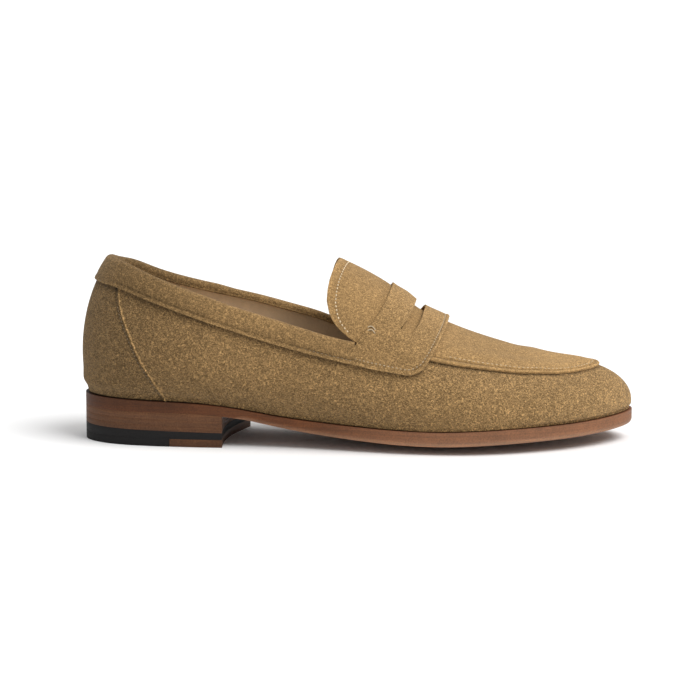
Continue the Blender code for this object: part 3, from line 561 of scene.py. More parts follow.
def even_path(points, normals, spacing):
    """The path's points and normals again, a fixed distance apart."""
    step = np.linalg.norm(np.diff(points, axis=0), axis=1)
    length = np.concatenate([[0], np.cumsum(step)])
    at = np.arange(spacing / 2, length[-1], spacing)
    columns = [np.interp(at, length, column) for column in points.T]
    sides = [np.interp(at, length, column) for column in normals.T]
    return np.stack(columns, -1), unit(np.stack(sides, -1))


# ---------------------------------------------------------------- pieces of the upper
WALL_COLUMNS = 340
COUNTER_COLUMNS = 110
APRON_COLUMNS = 260


def rows(stops):
    """Row shares joined from runs of (start, end, count)."""
    return np.unique(np.concatenate([np.linspace(a, b, n) for a, b, n in stops]))


def upper_layer(a, v, inner, outer, tone):
    """A closed shell on the last between two depths."""
    a = a + 0 * v
    return thick_sheet(on_last(a, v, outer), on_last(a, v, inner), grid_faces(*v.shape), tone)


def wall_heights(a, share):
    """Height of each row: the lasting margin, then evenly up to the wall's top edge."""
    return np.where(share < 0, share, share * wall_top_v(a))


def wall_shape(a, share):
    """Depths and tone of the wall: fuller above the feather at the heel. Its tone is painted light:
    painted shade at the heel and near the sole, a painted shadow just under the edge that laps over
    it, and painted light at the toe."""
    v = wall_heights(a, share)
    inner = wall_in(a, v)
    outer = inner + LEATHER
    x = station_x(a) + 0 * v
    outer = outer + 0.9 * bump(v, 0.05, 0.05) * (v > 0) * ramp((-118 - x) / 16)
    # Painted light towards the toe, painted shade towards the heel.
    tone = 0.07 + 0.12 * ramp((x - 90) / 60) - 0.46 * ramp((-55 - x) / 70)
    # Painted shade in a band just above the sole.
    tone = tone - 0.26 * bump(v, 0.0, 0.14) * ramp((60 - x) / 60) * ramp((x + 120) / 60)
    # Painted shadow just under the edge that laps over the wall.
    below = (lapped_edge_v(a + 0 * v) - v) * SIDE_HEIGHT
    tone = tone - 0.5 * bump(below, 0.25, 0.8)
    return v, inner, outer, np.maximum(tone, -0.62)


def packed_shares(count, step):
    """Shares from 0 to 1, packed a small step apart near both ends, where the seams are."""
    near = step * np.array([0, 1, 2, 3, 4.5, 6.5, 9])
    middle = np.linspace(near[-1], 1 - near[-1], count)[1:-1]
    return np.concatenate([near, middle, 1 - near[::-1]])


def lapped_edge_v(a):
    """Height of the edge that laps over the wall: the collar's, then the saddle's, then the
    apron's."""
    x = station_x(a)
    front = np.where(x < SADDLE_FRONT_X[0][1], saddle_low_v(x), apron_v(x))
    return np.where(x < COLLAR_END_X, collar_low_v(a), front)


def seam_station(share, side, offset):
    """Station of the counter seam at a row, on one side, closed in on in a few steps."""
    x = counter_seam_x(np.clip(share * 0.7, 0, 1))
    for _ in range(4):
        x = counter_seam_x(np.clip(wall_heights(station(x, side), share), 0, 1))
    return station(x + offset, side)


WALL_SHARES = rows([(-0.9, 0, 4), (0, 0.2, 9), (0.2, 1, 30)])


def make_wall(settings):
    """The lower wall: stations from one counter seam round the toe to the other, by rows from
    the lasting margin to the top edge, as two offsets of the last."""
    share = WALL_SHARES[:, None]
    start = seam_station(share, -1, SEAM_GAP)
    end = seam_station(share, 1, SEAM_GAP)
    a = between(start, end, packed_shares(WALL_COLUMNS, 0.0007)[None])
    v, inner, outer, tone = wall_shape(a, share + 0 * a)
    seam = distance_from_seam(a, v)
    outer = outer + 0.35 * bump(seam, 0.5, 0.55)
    # Painted highlight along the raised edge at the counter seam, and a little painted light back
    # towards the heel.
    tone = tone + 0.95 * bump(seam, 0.45, 0.6) + 0.12 * ramp((-70 - station_x(a)) / 70)
    body = upper_layer(a, v, inner, outer, tone)
    item = add_mesh("wall", body, suede("wall_suede", settings), EDGE_ROUNDING)
    finish_piece(item, ["vamp_wall"])


def distance_from_seam(a, v):
    """Distance along the foot from the counter seam, in millimetres."""
    return np.abs(station_x(a) - counter_seam_x(np.clip(v, 0, 1)))


def make_counter(settings):
    """The counter cover round the heel: the same two offsets, between the curved seams, with a
    row of sunk stitches behind each."""
    share = WALL_SHARES[:, None]
    end = seam_station(share, -1, -SEAM_GAP)
    a = between(-end, end, packed_shares(COUNTER_COLUMNS, 0.004)[None])
    v, inner, outer, tone = wall_shape(a, share + 0 * a)
    seam = distance_from_seam(a, v)
    sunk = bump(seam, COUNTER_STITCH_IN, 0.6)
    outer = outer - 0.15 * sunk
    # Painted shade in the sunk stitch groove behind the seam.
    tone = tone - 0.35 * sunk
    body = upper_layer(a, v, inner, outer, tone)
    item = add_mesh("counter_cover", body, suede("counter_suede", settings), EDGE_ROUNDING)
    finish_piece(item, ["heel_cover"])


APRON_SHARES = rows([(0, 0.12, 16), (0.12, 1, 26)])


def apron_shape(a, share):
    """Heights and depths of the apron: its edge stands on the wall and it sinks inside the lap."""
    edge = apron_v(station_x(a))
    v = between(edge, 1.0, share)
    distance = (v - edge) * SIDE_HEIGHT
    inner = over_wall(a, v) - LAP * ramp((v - edge - APRON_LAP_V - 0.01) / 0.16)
    outer = inner + LEATHER + edge_profile(distance, 0.5, 0.45)
    return v, inner, outer, distance


def make_apron(settings):
    """The apron on top of the forepart: rows from its sewn edge up to the ridge."""
    share = APRON_SHARES[:, None]
    ends = station(APRON_REAR_X - 3, -1), station(APRON_REAR_X - 3, 1)
    a = np.linspace(ends[0], ends[1], APRON_COLUMNS)[None] + 0 * share
    v, inner, outer, distance = apron_shape(a, share)
    # Painted highlight on the lip, painted shade in the stitch groove, and painted light towards the
    # toe.
    tone = 0.08 + edge_tone(distance) + 0.25 * ramp((station_x(a) - 80) / 50)
    body = upper_layer(a, v, inner, outer, tone)
    item = add_mesh("apron_top", body, suede("apron_suede", settings, 1.0, 0.6), EDGE_ROUNDING)
    finish_piece(item, ["apron"])


SADDLE_CORNER_V = float(SADDLE_FRONT_X[0][0])
SLOT_START, SLOT_END = 0.380, 0.567
SADDLE_BAND_ROWS = 10
SADDLE_UP_ROWS = 44


def saddle_net():
    """Stations and heights of the saddle: rows cross the foot, columns run forward."""
    runs = (0, SLOT_START, 24), (SLOT_START, SLOT_END, 12), (SLOT_END, 0.9, 18), (0.9, 1, 10)
    share = rows(runs)
    up = np.linspace(0, 1, SADDLE_UP_ROWS)
    a, v = [], []
    for side in (-1, 1):
        base = station(COLLAR_END_X, side)
        low, top = float(collar_low_v(base)), float(topline_v(base))
        band = np.linspace(low, top, SADDLE_BAND_ROWS)
        left = np.concatenate([band, between(top, 1.0, up[1:])])
        rise = np.concatenate([np.linspace(0, 0.2, SADDLE_BAND_ROWS), between(0.2, 1.0, up[1:])])
        right = between(SADDLE_CORNER_V, 1.0, rise)
        height = between(left[:, None], right[:, None], share)
        rear = np.where(left < top + 1e-9, COLLAR_END_X, saddle_rear_x(left))
        x = between(rear[:, None], saddle_front_x(right)[:, None], share)
        line = between(saddle_low_v(x[:, :1]), saddle_low_v(x[:, -1:]), share)
        fade = np.clip(1 - rise / 0.45, 0, 1)[:, None]
        height = height + (saddle_low_v(x) - line) * fade
        order = slice(None) if side < 0 else slice(-2, None, -1)
        a.append(station(x, side)[order])
        v.append(height[order])
    return np.vstack(a), np.vstack(v), share


def slot_faces(faces, v, share):
    """The saddle's faces without those of the slot, which ends in a rounded corner."""
    middle_v = (v[:-1, :-1] + v[1:, 1:]) / 2
    middle = (share[:-1] + share[1:]) / 2
    inside = (middle > SLOT_START) & (middle < SLOT_END)
    slot = inside[None] & (middle_v > SLOT_LOW_V)
    return faces[~slot.ravel()]


COLLAR_COLUMNS = 230
COLLAR_BAND = 0.9


def collar_net():
    """Two nets for the collar: up the outside, over the topline and down the inside.

    The outside band is a full, padded curve between its sewn lower edge and the roll."""
    start = float(station(COLLAR_END_X, 1)) - 2 * PI
    around = np.linspace(start, float(station(COLLAR_END_X, -1)), COLLAR_COLUMNS)
    low, top = collar_low_v(around), topline_v(around)
    share = np.linspace(0, 1, SADDLE_BAND_ROWS)
    v = between(low, top, share[:, None])
    a = around + 0 * v
    band_in = over_wall(a, v)
    blend = ramp((station_x(around) + 14) / 14)
    band_in = between(band_in, saddle_in(a, v), blend)
    distance = np.linalg.norm(last_point(a, v) - last_point(a[:1] + 0 * v, v[:1] + 0 * v), axis=-1)
    width = distance[-1]
    full = 0.55 * np.sin(PI * np.clip((distance - SEWN_IN) / (width - SEWN_IN), 0, 1)) * (1 - blend)
    full = full * ramp((station_x(around) + 150) / 40)
    outer = [*on_last(a, v, band_in + LEATHER + edge_profile(distance) + full)]
    inner = [*on_last(a, v, band_in)]
    # Painted highlight on the lip and painted shade in the stitch groove.
    tone = [*(edge_tone(distance) + 0 * v)]
    roll = (band_in[-1] + GAP) / 2
    normal = last_normal(around, top)
    tiny = 0.003
    upward = unit(last_point(around, top + tiny) - last_point(around, top - tiny))
    centre = last_point(around, top) + normal * (band_in[-1] - roll)[:, None]
    for angle in np.linspace(0, 180, 13)[1:]:
        turn = np.radians(angle)
        heading = normal * np.cos(turn) + upward * np.sin(turn)
        inner.append(centre + heading * roll[:, None])
        outer.append(centre + heading * (roll + LEATHER)[:, None])
        tone.append(0 * around)
    top_z = last_point(around, top)[:, 2]
    for drop in np.linspace(0, COLLAR_BAND, 7)[1:]:
        inside_v = height_at(around, top_z - drop)
        inner.append(on_last(around, inside_v, -GAP))
        swell = LEATHER + 0.35 * np.sin(PI * drop / COLLAR_BAND)
        outer.append(on_last(around, inside_v, -GAP - swell))
        # Painted shade deepening down the inside of the collar.
        tone.append(0 * around - 0.35 * drop / COLLAR_BAND)
    x = station_x(around)
    # Painted shade towards the heel.
    tone = np.array(tone) - 0.06 - 0.38 * ramp((-50 - x) / 80)
    return np.array(outer), np.array(inner), tone


def saddle_boundary(a, v, depth):
    """The saddle's lower and front edges as one line of points, both sides of the foot."""
    low = on_last(a[0], v[0], depth[0])
    front = on_last(a[:, -1], v[:, -1], depth[:, -1])
    far = on_last(a[-1], v[-1], depth[-1])
    return np.vstack([low, front, far[::-1]])


def make_saddle(settings):
    """The saddle, strap and collar in one: the saddle's net meets the collar's net along the
    collar's end, and both are given their thickness together."""
    a, v, share = saddle_net()
    inner_depth = saddle_in(a, v)
    line = saddle_boundary(a, v, inner_depth + LEATHER)
    distance = distance_to(on_last(a, v, inner_depth + LEATHER), line)
    outer = on_last(a, v, inner_depth + LEATHER + edge_profile(distance))
    inner = on_last(a, v, inner_depth)
    # Painted highlight and shade at the sewn edges, and painted light higher up the strap, where it
    # faces up.
    tone = edge_tone(distance) + 0.22 * ramp((v - 0.55) / 0.4)
    faces = slot_faces(grid_faces(*a.shape), v, share)
    collar_outer, collar_inner, collar_tone = collar_net()
    count = a.size
    collar_faces = grid_faces(*collar_outer.shape[:2]) + count
    weld_ends(outer, inner, collar_outer, collar_inner)
    points_out = np.vstack([outer.reshape(-1, 3), collar_outer.reshape(-1, 3)])
    points_in = np.vstack([inner.reshape(-1, 3), collar_inner.reshape(-1, 3)])
    tones = np.concatenate([tone.ravel(), collar_tone.ravel()])
    body = thick_sheet(points_out, points_in, np.vstack([faces, collar_faces]), tones)
    item = add_mesh("saddle", body, suede("saddle_suede", settings, 1.0, 0.75), 0.28)
    finish_piece(item, ["saddle_collar"])


def weld_ends(outer, inner, collar_outer, collar_inner):
    """Give the collar's two ends exactly the saddle's points, so that the nets join."""
    count = SADDLE_BAND_ROWS
    collar_outer[:count, -1] = outer[:count, 0]
    collar_inner[:count, -1] = inner[:count, 0]
    collar_outer[:count, 0] = outer[::-1][:count, 0]
    collar_inner[:count, 0] = inner[::-1][:count, 0]


def across_foot(rear_x, front_x, heights, columns):
    """Grid over the ridge, from a lateral height up and down again to the medial one."""
    share = np.linspace(0, 1, columns)
    a, v = [], []
    for side, order in ((-1, heights), (1, heights[::-1][1:])):
        x = between(rear_x(order)[:, None], front_x(order)[:, None], share)
        a.append(station(x, side))
        v.append(order[:, None] + 0 * x)
    return np.vstack(a), np.vstack(v)


TONGUE_LOWEST_V = 0.425
TONGUE_EDGE_X = (
    (0.425, 4.0), (0.436, 0.0), (0.447, -3.0), (0.46, -6.2), (0.48, -9.6), (0.50, -12.0),
    (0.53, -14.0), (0.589, -15.6), (0.655, -15.4), (0.72, -14.7), (0.79, -13.6), (0.9, -11.9),
    (1.0, -10.6),
)


def tongue_net(inset, columns, front):
    """The whole tongue, from its arched rear edge to its front under the strap."""
    heights = np.linspace(TONGUE_LOWEST_V, 1.0, 44)
    return across_foot(lambda v: tongue_edge_x(v) + inset, lambda v: front + 0 * v, heights, columns)


def tongue_edge_x(v):
    """The tongue's arched rear edge, by height."""
    return np.interp(v, *zip(*TONGUE_EDGE_X))


def tongue_lift(v):
    """The tongue stands a little off the last above its lower corners."""
    return 0.35 * ramp((v - 0.45) / 0.1)


def make_tongue(settings):
    """The tongue in two layers, suede over lining, with a row of sunk stitches inside its edge."""
    a, v = tongue_net(0.0, 40, APRON_REAR_X - 0.8)
    distance = station_x(a) - tongue_edge_x(v)
    inner = WALL_IN + tongue_lift(v)
    groove = 0.3 * bump(distance, TONGUE_STITCH_IN, 0.8)
    outer = inner + LEATHER - groove - 0.25 * bump(distance, 0, 0.7)
    # Painted highlight along the tongue's edge and painted shade in the stitch groove.
    tone = 0.05 + 0.28 * bump(distance, 0.5, 1.2) - 0.2 * bump(distance, TONGUE_STITCH_IN, 0.7)
    body = upper_layer(a, v, inner, outer, tone)
    item = add_mesh("tongue_top", body, suede("tongue_suede", settings, 1.0, 0.6), EDGE_ROUNDING)
    finish_tongue(item, ["tongue_flap", "tongue_base"])
    a, v = tongue_net(0.25, 30, 17.0)
    lining = upper_layer(a, v, 0.15 + 0 * v, WALL_IN + 0.2 + 0 * v, 0 * v)
    item = add_mesh("tongue_underside", lining, suede("tongue_back", settings, 0.8, 0.6), 0.25)
    finish_tongue(item, ["tongue_lining"])


def finish_tongue(item, nodes):
    """Hide the nodes the piece stands for, and bake its transform."""
    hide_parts(*nodes)
    bend_tongue(item)


def bend_tongue(item):
    """Bake the piece's transform into its mesh."""
    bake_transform(item)


# ---------------------------------------------------------------- inside
def lining_layer(a, top):
    """A lining shell from under the foot up to a height, with painted shade that deepens towards the
    toe.
    """
    share = np.linspace(-0.6, 1, 34)[:, None]
    v = np.where(share < 0, share, share * top)
    tone = 0 * v - 0.4 * ramp((station_x(a) + 70) / 70)
    return upper_layer(a + 0 * v, v, 0 * v, LINING + 0 * v, tone)


def make_linings(settings):
    """The linings: one thin shell each for the forepart, the two quarters and the heel grip."""
    material = smooth_leather("lining_leather", settings.lining_colour, 0.55, 700.0, 0.25)
    grip_colour = [0.8 * part for part in settings.lining_colour[:3]]
    grip = smooth_leather("grip_leather", grip_colour, 0.7, 900.0, 0.5)
    a = np.linspace(station(LINING_JOINT_X + GAP, -1), station(LINING_JOINT_X + GAP, 1), 260)[None]
    rear_v, rear_x = np.array(SADDLE_REAR_X).T
    climb = np.interp(station_x(a), rear_x, rear_v)
    top = np.where(station_x(a) > COLLAR_END_X + 0.01, climb, topline_v(a) - TOP_EDGE_V)
    item = add_mesh("forepart_lining", lining_layer(a, top), material)
    finish_piece(item, ["vamp_lining"])
    for side, name in SIDES:
        ends = sorted((station(HEEL_GRIP_X + 0.1, side), station(LINING_JOINT_X, side)))
        a = np.linspace(*ends, 70)[None]
        body = lining_layer(a, topline_v(a) - LINING_EDGE_V)
        item = add_mesh("quarter_inside_" + name, body, material)
        finish_piece(item, ["quarter_lining_" + name])
    end = float(station(HEEL_GRIP_X, -1))
    a = np.linspace(-end, end, 100)[None]
    item = add_mesh("heel_grip", lining_layer(a, topline_v(a) - LINING_EDGE_V), grip)
    finish_piece(item, ["heel_grip_lining"])


def feather_outline(inwards, count=300):
    """Outline of the last's base, moved inwards, and the centre line under the ridge."""
    a = np.linspace(0, 2 * PI, count, endpoint=False)
    x = spine_x(station_x(a))
    return feather(a, inwards)[:, :2], np.stack([x, spine_y(x)], -1)


def raised(surface, amount):
    """The same surface, higher by an amount."""
    return lambda x, y: surface(x, y) + amount


def sock_rise(x, y):
    """Underside of the sock liner: over the insole, and over the pad under the heel."""
    return base_z(x, y) + 2 * GAP + INSOLE + (HEEL_PAD + GAP) * ramp((-50 - x) / 16)


def make_footbed(settings):
    """The sock liner: a thin sheet over the insole that rises onto the heel pad."""
    outline, centre = feather_outline(0.5)
    shares = np.linspace(0, 1, 14)
    low = [(outline, s, sock_rise) for s in shares[::-1]]
    high = [(outline, s, raised(sock_rise, SOCK)) for s in shares]
    body = ring_body(centre, [*low, *high], [0.0] * (2 * len(shares)))
    material = smooth_leather("sock_leather", settings.lining_colour, 0.6, 500.0, 0.2)
    finish_piece(add_mesh("sock", body, material), ["sock_liner"])


# ---------------------------------------------------------------- the bottom
def free_of_heel(x):
    """Share of the sole's lower bevel: full along the free edge, a trace over the heel."""
    return between(0.1, 1.0, ramp((x - HEEL_FRONT_X) / 6))


def make_sole(settings):
    """The sole: a flat underside, a round lower bevel, an upright burnished edge and a top."""
    edge, centre = feather_outline(-SOLE_OVERHANG)
    rings = [(edge, s, sole_low) for s in np.linspace(1, 0.08, 12)]
    # Tones: the underside a little lighter, a painted highlight on the round lower bevel, the upright
    # edge plain, and the top darker.
    tones = [0.3] * 12 + [0.9, 0.9, 0.85, 0.8, 0.65, 0.4, 0.15]
    radius = SOLE_BEVEL * 1.5
    for angle in np.linspace(0, PI / 2, 7):
        shape, _ = feather_outline(radius * (1 - np.sin(angle)) - SOLE_OVERHANG)
        shape = between(edge, shape, free_of_heel(edge[:, :1]))
        rise = radius * 1.3 * (1 - np.cos(angle))
        rings.append((shape, 0.0, lambda x, y, r=rise: sole_low(x, y) + r * free_of_heel(x)))
    for level_share in (0.55, 0.75, 0.9, 0.97):
        rings.append((edge, 0.0, lambda x, y, s=level_share: sole_low(x, y) + sole_thick(x) * s))
        tones.append(0.0)
    inset, _ = feather_outline(0.35 - SOLE_OVERHANG)
    rings += [(inset, 0.0, sole_top)] + [(inset, s, sole_top) for s in np.linspace(0.05, 1, 12)]
    # Painted shade on the top of the sole, under the upper.
    tones += [-0.3] * 13
    points, quads, triangles, tone = ring_body(centre, rings, tones)
    # Painted light towards the ball and toe, and painted shade at the heel.
    tone = tone + 0.62 * ramp((points[:, 0] + 60) / 110) - 0.38 * ramp((-60 - points[:, 0]) / 45)
    body = points, quads, triangles, tone
    item = add_mesh("sole", body, edge_leather("sole_leather", settings.sole_colour, 260.0))
    finish_piece(item, ["outsole"])


def slanted(outline):
    """The front of the heel leans forward on the medial side."""
    near_front = ramp((outline[:, 0] + 98) / 30)
    outline[:, 0] += HEEL_FRONT_SLANT * outline[:, 1] / HEEL_HALF_WIDTH * near_front
    return outline


def heel_edge(start, end, count):
    """The heel's outline, which follows the sole's edge between two stations."""
    return feather(np.linspace(start, end, count), -SOLE_OVERHANG)[:, :2]


def breast(start, end, count=30):
    """The hollow front face of the heel, without its two corners."""
    share = np.linspace(0, 1, count + 2)[1:-1, None]
    line = between(start, end, share)
    line[:, 0] -= HEEL_FRONT_HOLLOW * np.sin(PI * share[:, 0])
    return line


def whole_heel():
    """Outline and centre of a layer that covers the whole heel."""
    back = heel_edge(station(HEEL_FRONT_X, 1) - 2 * PI, station(HEEL_FRONT_X, -1), 90)
    outline = slanted(np.vstack([back, breast(back[-1], back[0])]))
    return outline, np.array([-100, 0.5]) + 0 * outline


def rear_heel():
    """Outline and centre of the rubber half of the top piece."""
    split = HEEL_SPLIT_X - SPLIT_GAP
    outline = heel_edge(station(split, 1) - 2 * PI, station(split, -1), 70)
    return outline, np.array([-118, 0.5]) + 0 * outline


def front_heel():
    """Outline and centre of the leather half of the top piece."""
    split = HEEL_SPLIT_X + SPLIT_GAP
    lateral = heel_edge(station(split, -1), station(HEEL_FRONT_X, -1), 16)
    medial = heel_edge(station(HEEL_FRONT_X, 1), station(split, 1), 16)
    outline = slanted(np.vstack([lateral, breast(lateral[-1], medial[0]), medial]))
    return outline, np.array([-87, 0.5]) + 0 * outline


def level(z):
    """A flat surface."""
    return lambda x, y: z + 0 * x


def lift_seam(k):
    """Seam k between heel lifts: level across, a little lower at the front than at the back."""
    back, front = LIFT_SEAMS[k]
    return lambda x, y: between(back, front, (x - HEEL_X) / (HEEL_FRONT_X - HEEL_X))


def heel_block(outline, centre, low, high, soft):
    """One layer of the heel with slightly rounded edges, top and bottom."""
    away = outline - centre
    tight = outline - away / np.linalg.norm(away, axis=1, keepdims=True) * soft
    rings = [(tight, share, low) for share in (1.0, 0.97, 0.5, 0.0)]
    rings += [(outline, 0.0, raised(low, soft)), (outline, 0.0, raised(high, -soft))]
    rings += [(tight, share, high) for share in (0.0, 0.5, 0.97, 1.0)]
    return ring_body(centre, rings, [0.0] * len(rings))


LAYER_GAP = 0.012


def make_heel(settings):
    """The heel stack: three leather lifts, a rubber lift and a top piece in two halves."""
    thin = LAYER_GAP
    levels = [lift_seam(0), lift_seam(1), lift_seam(2), raised(sole_low, -thin)]
    for k, name in enumerate(("lower", "middle", "upper")):
        material = edge_leather("lift_leather_" + name, settings.lift_colour, 420.0, 0.1 * (k - 1))
        block = heel_block(*whole_heel(), raised(levels[k], thin), raised(levels[k + 1], -thin), 0.03)
        item = add_mesh("lift_" + name, block, material)
        finish_piece(item, ["heel_lift_" + name])
    rubber = rubber_material("heel_rubber")
    block = heel_block(*whole_heel(), level(TOP_PIECE + thin), raised(levels[0], -thin), 0.05)
    finish_piece(add_mesh("rubber_layer", block, rubber), ["rubber_lift"])
    block = heel_block(*rear_heel(), level(0), level(TOP_PIECE - thin), 0.05)
    finish_piece(add_mesh("rubber_top", block, rubber), ["rubber_top_piece"])
    leather = edge_leather("insert_leather", settings.lift_colour, 300.0, -0.22)
    block = heel_block(*front_heel(), level(0), level(TOP_PIECE - thin), 0.05)
    finish_piece(add_mesh("leather_insert", block, leather), ["leather_top_piece"])


# ---------------------------------------------------------------- stitches
STITCH_SHARE = 0.66
# Millimetres of height per unit of v, beside the saddle.
HEIGHT_SCALE = 72.0


def stitch_row(node, seam, settings, stretch, radius, light):
    """Stitches along a seam: beads spaced evenly along the curve of stations and heights.

    `stretch` scales the stitch length, `radius` is the thread's and `light` its brightness."""
    a, v, depth = seam
    spacing = settings.stitch_length / TO_METRES * stretch
    path, normal = even_path(on_last(a, v, depth), last_normal(a, v), spacing)
    grid = bead_grid(path, normal, spacing * STITCH_SHARE, radius)
    count, rings, sides = grid.shape[:3]
    starts = np.arange(count) * rings * sides
    faces = (grid_faces(rings, sides)[None] + starts[:, None, None]).reshape(-1, 4)
    points = grid.reshape(-1, 3)
    body = merge_points(points, faces, np.zeros(len(points)))
    name = node.replace("thread", "stitches")
    return add_mesh(name, body, thread_material("thread_" + name, settings, light))


def both_sides(heights):
    """Heights up the lateral side and down the medial one, and which side each is on."""
    side = np.concatenate([-np.ones(len(heights)), np.ones(len(heights) - 1)])
    return np.concatenate([heights, heights[-2::-1]]), side


def offset_in_plan(x, v, inwards):
    """The curve (x, v) moved sideways by a distance in millimetres."""
    dx, dh = np.gradient(x), np.gradient(v * HEIGHT_SCALE)
    size = np.hypot(dx, dh)
    return x - inwards * dh / size, v + inwards * dx / size / HEIGHT_SCALE


def saddle_side(side):
    """The sewn line inside the saddle's lower and front edges, on one side of the foot."""
    low_x = np.linspace(COLLAR_END_X, SADDLE_FRONT_X[0][1], 40)
    front_v = np.linspace(SADDLE_CORNER_V, 1.0, 60)[1:]
    x = np.concatenate([low_x, saddle_front_x(front_v)])
    v = np.concatenate([saddle_low_v(low_x), front_v])
    x, v = offset_in_plan(x, v, SEWN_IN)
    keep = v <= 1.0
    return station(x[keep], side), v[keep]


def saddle_seam():
    """Stations, heights and depths of the saddle's row, from side to side over the foot."""
    lateral_a, lateral_v = saddle_side(-1)
    medial_a, medial_v = saddle_side(1)
    a = np.concatenate([lateral_a, medial_a[::-1]])
    v = np.concatenate([lateral_v, medial_v[::-1]])
    return a, v, saddle_in(a, v) + LEATHER - 0.2


def apron_seam():
    """The row inside the apron's edge, forward of the saddle."""
    a = np.linspace(station(48, -1), station(48, 1), 400)
    v = apron_v(station_x(a)) + APRON_STITCH_IN / SIDE_HEIGHT
    return a, v, over_wall(a, v) + LEATHER - 0.15


def collar_seam():
    """The row above the collar's lower edge, round the heel."""
    start = float(station(COLLAR_END_X, 1)) - 2 * PI
    a = np.linspace(start, float(station(COLLAR_END_X, -1)), 500)
    v = height_at(a, last_point(a, collar_low_v(a))[:, 2] + SEWN_IN - 0.2)
    return a, v, over_wall(a, v) + LEATHER - 0.38


def tongue_seam():
    """The row inside the tongue's arched edge."""
    v, side = both_sides(np.linspace(0.47, 1.0, 80))
    a = station(tongue_edge_x(v) + TONGUE_STITCH_IN, side)
    return a, v, WALL_IN + LEATHER + tongue_lift(v) - 0.12


def counter_seam(side):
    """The row behind a counter seam."""
    v = np.linspace(0.01, 0.42, 80)
    a = station(counter_seam_x(v) - COUNTER_STITCH_IN, side)
    return a, v, wall_in(a, v) + LEATHER - 0.25


def sew(node, seam, settings, stretch, radius, light):
    """A row of stitches on the shoe itself."""
    item = stitch_row(node, seam, settings, stretch, radius, light)
    finish_piece(item, [node])


def make_stitches(settings):
    """Every sewn row of the upper, and the saddle's two tacks."""
    sew("apron_thread", apron_seam(), settings, 1.15, 0.3, 0.8)
    sew("saddle_thread", saddle_seam(), settings, 1.0, 0.26, 0.7)
    sew("collar_thread", collar_seam(), settings, 1.0, 0.2, 0.4)
    item = stitch_row("tongue_thread", tongue_seam(), settings, 1.0, 0.36, 1.0)
    finish_tongue(item, ["tongue_thread"])
    for side, name in SIDES:
        sew("counter_thread_" + name, counter_seam(side), settings, 0.9, 0.2, 0.4)
        make_tack(side, name, settings)


TACK_X = (6.0, 10.4)
TACK_V = 0.515


def make_tack(side, name, settings):
    """The tack at the strap's foot: two short hand stitches side by side."""
    grids = []
    arch = np.sin(PI * np.linspace(0, 1, 12))
    a = station(np.linspace(*TACK_X, 12), side)
    for shift in (-0.6, 0.6):
        v = TACK_V + 0.012 * arch + shift / HEIGHT_SCALE
        points = on_last(a, v, saddle_in(a, v) + LEATHER - 0.35 + 0.75 * arch)
        grids.append(round_cord(points, last_normal(a, v), 0.32))
    count = grids[0].shape[0] * grids[0].shape[1]
    faces = grid_faces(*grids[0].shape[:2])
    points = np.vstack([grid.reshape(-1, 3) for grid in grids])
    body = merge_points(points, np.vstack([faces, faces + count]), np.zeros(len(points)))
    item = add_mesh("tack_" + name, body, thread_material("thread_tack_" + name, settings, 0.8))
    finish_piece(item, ["saddle_tack_" + name])


def round_cord(path, normal, radius, sides=9):
    """A round cord along a path, its two ends drawn to points."""
    ahead = unit(np.gradient(path, axis=0))
    across = unit(np.cross(ahead, normal))
    up = np.cross(across, ahead)
    turn = np.linspace(0, 2 * PI, sides)
    ring = across[:, None] * np.cos(turn)[:, None] + up[:, None] * np.sin(turn)[:, None]
    girth = np.full(len(path), radius)
    girth[[0, -1]] = 0
    return path[:, None] + ring * girth[:, None, None]


# ---------------------------------------------------------------- materials
class Nodes:
    """Adds shader nodes to a new material and links them."""

    def __init__(self, name):
        self.material = bpy.data.materials.new(name)
        self.material.use_nodes = True
        self.tree = self.material.node_tree
        self.shader = self.tree.nodes["Principled BSDF"]

    def add(self, kind, inputs=None, **properties):
        node = self.tree.nodes.new(kind)
        for key, value in properties.items():
            setattr(node, key, value)
        for key, value in (inputs or {}).items():
            self.put(node, key, value)
        return node

    def put(self, node, key, value):
        if isinstance(value, bpy.types.NodeSocket):
            self.tree.links.new(value, node.inputs[key])
        else:
            node.inputs[key].default_value = value

    def coordinates(self, scale=(1, 1, 1), turn=(0, 0, 0)):
        source = self.add("ShaderNodeTexCoord").outputs["Object"]
        node = self.add("ShaderNodeMapping", {"Vector": source, "Scale": scale, "Rotation": turn})
        return node.outputs["Vector"]

    def noise(self, vector, scale, detail=2.0, roughness=0.5, distortion=0.0):
        values = {
            "Vector": vector,
            "Scale": scale,
            "Detail": detail,
            "Roughness": roughness,
            "Distortion": distortion,
        }
        return self.add("ShaderNodeTexNoise", values).outputs["Fac"]

    def math(self, operation, a, b=0.0, c=0.0):
        return self.add("ShaderNodeMath", {0: a, 1: b, 2: c}, operation=operation).outputs[0]

    def remap(self, value, low, high, out_low, out_high):
        node = self.add("ShaderNodeMapRange", {"Value": value, "From Min": low, "From Max": high})
        self.put(node, "To Min", out_low)
        self.put(node, "To Max", out_high)
        return node.outputs["Result"]

    def tone(self):
        return self.add("ShaderNodeAttribute", attribute_name="tone").outputs["Fac"]

    def shade(self, colour, value):
        """The colour times a brightness value."""
        values = {0: tuple(colour[:3]), "Scale": value}
        return self.add("ShaderNodeVectorMath", values, operation="SCALE").outputs[0]

    def product(self, first, *others):
        """All the values multiplied together."""
        for other in others:
            first = self.math("MULTIPLY", first, other)
        return first

    def set(self, **values):
        for key, value in values.items():
            self.put(self.shader, key.replace("_", " "), value)
        return self.material


